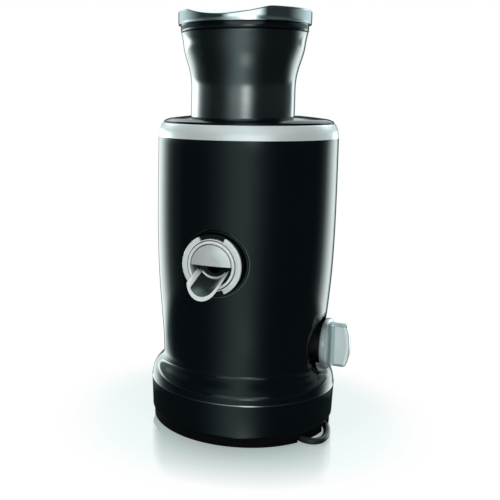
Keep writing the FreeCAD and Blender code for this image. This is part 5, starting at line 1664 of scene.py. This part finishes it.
# ---- studio
@dataclass
class Studio:
    """Table, reflected soft boxes, lamps, white world and the camera."""

    table_r: float = 0.262
    table_z: float = -0.02
    table_matt: Colour = (0.86, 0.92, 0.92, 1.0)
    # Cool tint painted into the floor's own glow near the juicer: painted light that fades to plain
    # white farther out.
    table_painted_tint: Colour = (0.84, 1.0, 1.0, 1.0)
    table_gloss: Colour = (1.0, 0.9, 0.9, 1.0)
    painted_tint_reach: Span = (0.12, 0.19)
    white_reach: Span = (0.15, 0.22)
    white_share: Span = (0.72, 1.0)
    mirror_reach: Span = (0.102, 0.19)
    mirror_share: Span = (0.5, 0.0)
    world_levels: Span = (0.55, 1.0)
    lamps: tuple[tuple[str, Point, float], ...] = (
        ("key", (-0.7, -1.2, 1.5), 11.0), ("fill", (1.0, -0.9, 1.1), 7.0),
        ("top", (0.0, 0.1, 1.7), 6.0))
    lamp_size: float = 0.9
    lamp_aim: Point = (0.0, 0.0, 0.2)
    curtain_r: float = 3.0
    curtain_far: float = 9.0
    curtain_z: float = 200.0
    dim: float = 0.03
    band: tuple[float, float, float, float] = (0.64, -4.0, 20.0, 16.0)
    boxes: tuple[Point, ...] = ((3.2, 7.0, 7.5), (0.8, -14.0, 13.0))
    box_heights: Plateau = ((-0.2, 1.6), (14.0, 20.0))
    broad_level: float = 1.2
    broad_rise: Span = (6.0, 8.5)
    broad_sides: Plateau = ((-41.0, -20.0), (21.0, 38.0))
    floor_level: float = 0.6
    floor_bell: Span = (5.0, 9.0)
    floor_depths: Plateau = ((24.5, 33.0), (52.0, 60.0))
    cap_heights: Plateau = ((5.0, 8.0), (16.0, 24.0))
    neck_heights: Plateau = ((-0.6, 1.4), (5.0, 8.0))
    strip_heights: Plateau = ((-20.4, -18.6), (55.0, 70.0))
    flank_level: float = 0.75
    flank_sides: Plateau = ((75.0, 140.0), (150.0, 160.0))
    back_rise: Span = (11.5, 13.5)
    back_side: Span = (150.0, 162.0)
    cool_levels: Span = (0.66, 0.98)
    wall_glow: Outline = field(default_factory=lambda: [
        (-165.0, 0.07), (-161.0, 0.6), (-156.0, 2.2), (-147.0, 2.6), (-142.0, 2.9), (-134.0, 2.7),
        (-127.0, 1.85), (-121.0, 1.05), (-115.0, 0.45), (-110.0, 0.25), (-103.0, 0.1), (-85.0, 0.0),
        (95.0, 0.0), (103.0, 0.05), (108.0, 0.17), (113.0, 0.37), (118.0, 1.0), (124.0, 1.9),
        (130.0, 2.75), (138.0, 3.1), (147.0, 2.6), (153.0, 0.7), (158.0, 0.07)])
    neck_glow: Outline = field(default_factory=lambda: [
        (-162.0, 0.07), (-155.0, 2.0), (-147.0, 3.4), (-139.0, 6.0), (-122.0, 6.0), (-118.0, 5.0),
        (-113.0, 3.2), (-109.0, 1.8), (-105.0, 1.2), (-98.0, 0.5), (-88.0, 0.2), (-70.0, 0.05),
        (100.0, 0.05), (119.0, 0.2), (129.0, 0.5), (135.0, 2.8), (142.0, 3.8), (149.0, 2.0),
        (155.0, 0.1)])
    turn: float = 18.386
    lens: float = 57.84
    shift: tuple[float, float] = (0.18, -0.0412)
    away: float = 0.88855
    height: float = 0.35774
    yaw: float = 6.161
    pitch: float = 9.327
    roll: float = 0.392

    def build(self) -> None:
        """Make everything that isn't the juicer."""
        self._camera()
        self._world()
        self._table()
        self._curtain()
        self._lamps()

    def _camera(self) -> None:
        """Camera a little right of the front, above the spout."""
        data = bpy.data.cameras.new("view")
        data.lens, data.sensor_width = self.lens, 36.0
        data.shift_x, data.shift_y = self.shift
        data.clip_start, data.clip_end = 0.02, 20.0
        made = placed("view", data)
        yaw, pitch, roll = (math.radians(v) for v in (self.yaw, self.pitch, self.roll))
        ahead = Vector((-math.sin(yaw) * math.cos(pitch), math.cos(yaw) * math.cos(pitch),
                        -math.sin(pitch)))
        level = Vector((math.cos(yaw), math.sin(yaw), 0.0))
        above = level.cross(ahead)
        right = level * math.cos(roll) + above * math.sin(roll)
        up = above * math.cos(roll) - level * math.sin(roll)
        local = Matrix((right, up, -ahead)).transposed().to_4x4()
        made.matrix_world = (Matrix.Rotation(math.radians(self.turn), 4, "Z")
                             @ Matrix.Translation((0.0, -self.away, self.height)) @ local)
        bpy.context.scene.camera = made

    @staticmethod
    def _seen(wiring: Wiring) -> Socket:
        """Light path socket for what is looked at.

        Args:
            wiring: the tree that it joins.

        Returns:
            One where a ray comes from the camera, a reflection or a transmission.
        """
        path = wiring.node("ShaderNodeLightPath")
        last = path.outputs["Is Camera Ray"]
        for name in ("Is Glossy Ray", "Is Transmission Ray"):
            last = wiring.maths("MAXIMUM", last, path.outputs[name])
        return last

    def _world(self) -> None:
        """White where it is seen, soft and plain where it lights."""
        world = bpy.data.worlds.new("studio")
        bpy.context.scene.world = world
        world.use_nodes = True
        wiring = Wiring(world.node_tree)
        wiring.fill(world.node_tree.nodes["Background"], Color=(1, 1, 1, 1),
                    Strength=wiring.remap(self._seen(wiring), end=self.world_levels))

    @staticmethod
    def _blank(name: str) -> tuple[bpy.types.Material, Wiring]:
        """Material with nothing in its tree.

        Args:
            name: the material's name.

        Returns:
            The material, and its tree ready for nodes.
        """
        made = bpy.data.materials.new(name)
        made.use_nodes = True
        made.node_tree.nodes.clear()
        return made, Wiring(made.node_tree)

    def _table(self) -> None:
        """Pale round table that mirrors the foot and keeps its shadow."""
        radii = [0.0, *np.linspace(10.0, self.table_r / MM, 20)]
        form = Form().turned([(r, self.table_z) for r in radii])
        top = form.piece("table", MATTE_BLACK)
        if top.data.polygons[0].normal.z < 0:
            top.data.flip_normals()
        made, wiring = self._blank("pale_table")
        where = wiring.node("ShaderNodeTexCoord").outputs["Object"]
        far = wiring.node("ShaderNodeVectorMath", {"operation": "LENGTH"},
                          _0=where).outputs["Value"]
        matt = wiring.node("ShaderNodeBsdfDiffuse", Color=self.table_matt).outputs["BSDF"]
        painted_tint = wiring.node("ShaderNodeEmission", Color=self.table_painted_tint).outputs["Emission"]
        lit = wiring.node("ShaderNodeEmission").outputs["Emission"]
        gloss = wiring.node("ShaderNodeBsdfGlossy", Color=self.table_gloss,
                            Roughness=0.09).outputs["BSDF"]
        # Near the juicer the floor's glow is painted a cool tint, standing in for tinted light
        # reflected there; farther out it is plain white.
        glow = wiring.mixed(wiring.remap(far, self.painted_tint_reach), painted_tint, lit)
        white = wiring.maths("MULTIPLY", self._seen(wiring),
                             wiring.remap(far, self.white_reach, self.white_share))
        pale = wiring.mixed(white, matt, glow)
        mirror = wiring.remap(far, self.mirror_reach, self.mirror_share)
        wiring.node("ShaderNodeOutputMaterial", Surface=wiring.mixed(mirror, pale, gloss))
        top.data.materials.clear()
        top.data.materials.append(made)
        top.visible_glossy = False

    @staticmethod
    def _read(azimuth: float, table: Outline) -> float:
        """Brightness at an azimuth, between a table's rows."""
        return float(np.interp(azimuth, *zip(*table)))

    def _glow(self, azimuth: float, height: float) -> float:
        """Brightness of the reflected studio in one direction.

        Args:
            azimuth: degrees to the right of the camera.
            height: degrees above the level of the base.

        Returns:
            The brightness.
        """
        side = abs(azimuth)
        tall, high = plateau(height, *self.box_heights), ramp(height, *self.broad_rise)
        peak, middle, left, right = self.band
        band = peak * bell(azimuth, middle, left if azimuth < middle else right)
        box = sum(peak * bell(azimuth, middle, width) for peak, middle, width in self.boxes)
        broad = self.broad_level * plateau(azimuth, *self.broad_sides)
        floor = self.floor_level * plateau(-height, *self.floor_depths) * bell(
            azimuth, *self.floor_bell)
        level = self.dim + tall * (high * broad + (1 - high) * box) + (1 - tall) * band + floor
        near = 1 - plateau(height, *self.cap_heights)
        neck = plateau(height, *self.neck_heights)
        strip = (neck * self._read(azimuth, self.neck_glow)
                 + (1 - neck) * self._read(azimuth, self.wall_glow))
        level += strip * near * plateau(height, *self.strip_heights)
        level += self.flank_level * (1 - near) * plateau(side, *self.flank_sides)
        return level + ramp(height, *self.back_rise) * ramp(side, *self.back_side)

    def _curtain(self) -> None:
        """Dark surround with soft lights in it, seen only in reflections."""
        heights = sorted({*np.arange(-90.0, 91.0, 2.0), *np.arange(-7.0, 11.0, 0.5)})
        rows, glow = [], []
        for height in heights:
            row, e = [], math.radians(height)
            r = (self.curtain_r + self.curtain_far * ramp(-height, 6.0, 20.0)) / MM
            for azimuth in np.arange(-180.0, 180.0, 2.0):
                a = math.radians(azimuth + self.turn)
                row.append((r * math.sin(a) * math.cos(e), -r * math.cos(a) * math.cos(e),
                            self.curtain_z + r * math.sin(e)))
                level = self._glow(azimuth, height)
                cool = 1 - ramp(level, *self.cool_levels)
                glow += [level * (0.88 - 0.14 * cool), level, level * (0.99 + 0.04 * cool), 1.0]
            rows.append(row)
        mesh = Form().covered(rows).mesh("curtain")
        mesh.attributes.new("glow", "FLOAT_COLOR", "POINT").data.foreach_set("color", glow)
        made, wiring = self._blank("curtain")
        read = wiring.node("ShaderNodeAttribute", {"attribute_name": "glow"}).outputs["Color"]
        lit = wiring.node("ShaderNodeEmission", Color=read).outputs["Emission"]
        wiring.node("ShaderNodeOutputMaterial", Surface=lit)
        mesh.materials.append(made)
        cloth = placed("curtain", mesh)
        cloth.visible_camera = cloth.visible_diffuse = False
        cloth.visible_shadow = cloth.visible_transmission = False

    def _lamps(self) -> None:
        """Soft lamps above and in front."""
        for name, place, power in self.lamps:
            data = bpy.data.lights.new(name, "AREA")
            data.size, data.energy = self.lamp_size, power
            lamp = placed(name, data)
            lamp.location = place
            lamp.rotation_mode = "QUATERNION"
            lamp.rotation_quaternion = (Vector(self.lamp_aim) - Vector(place)).to_track_quat(
                "-Z", "Y")
            lamp.visible_glossy = lamp.visible_camera = False


def main() -> None:
    """Build the studio, the lead and every sub-assembly in order."""
    logging.basicConfig(level=logging.INFO, format="%(message)s")
    scene = bpy.context.scene
    scene.view_settings.view_transform = "Standard"
    for part in (Studio(), Lead(), Casing(), Lid(), Feed(), Spout(), Knob(), JuicePath(), Screws(),
                 Inside()):
        LOG.info("building %s", type(part).__name__)
        part.build()
    bpy.context.view_layer.update()


if __name__ == "__main__":
    main()
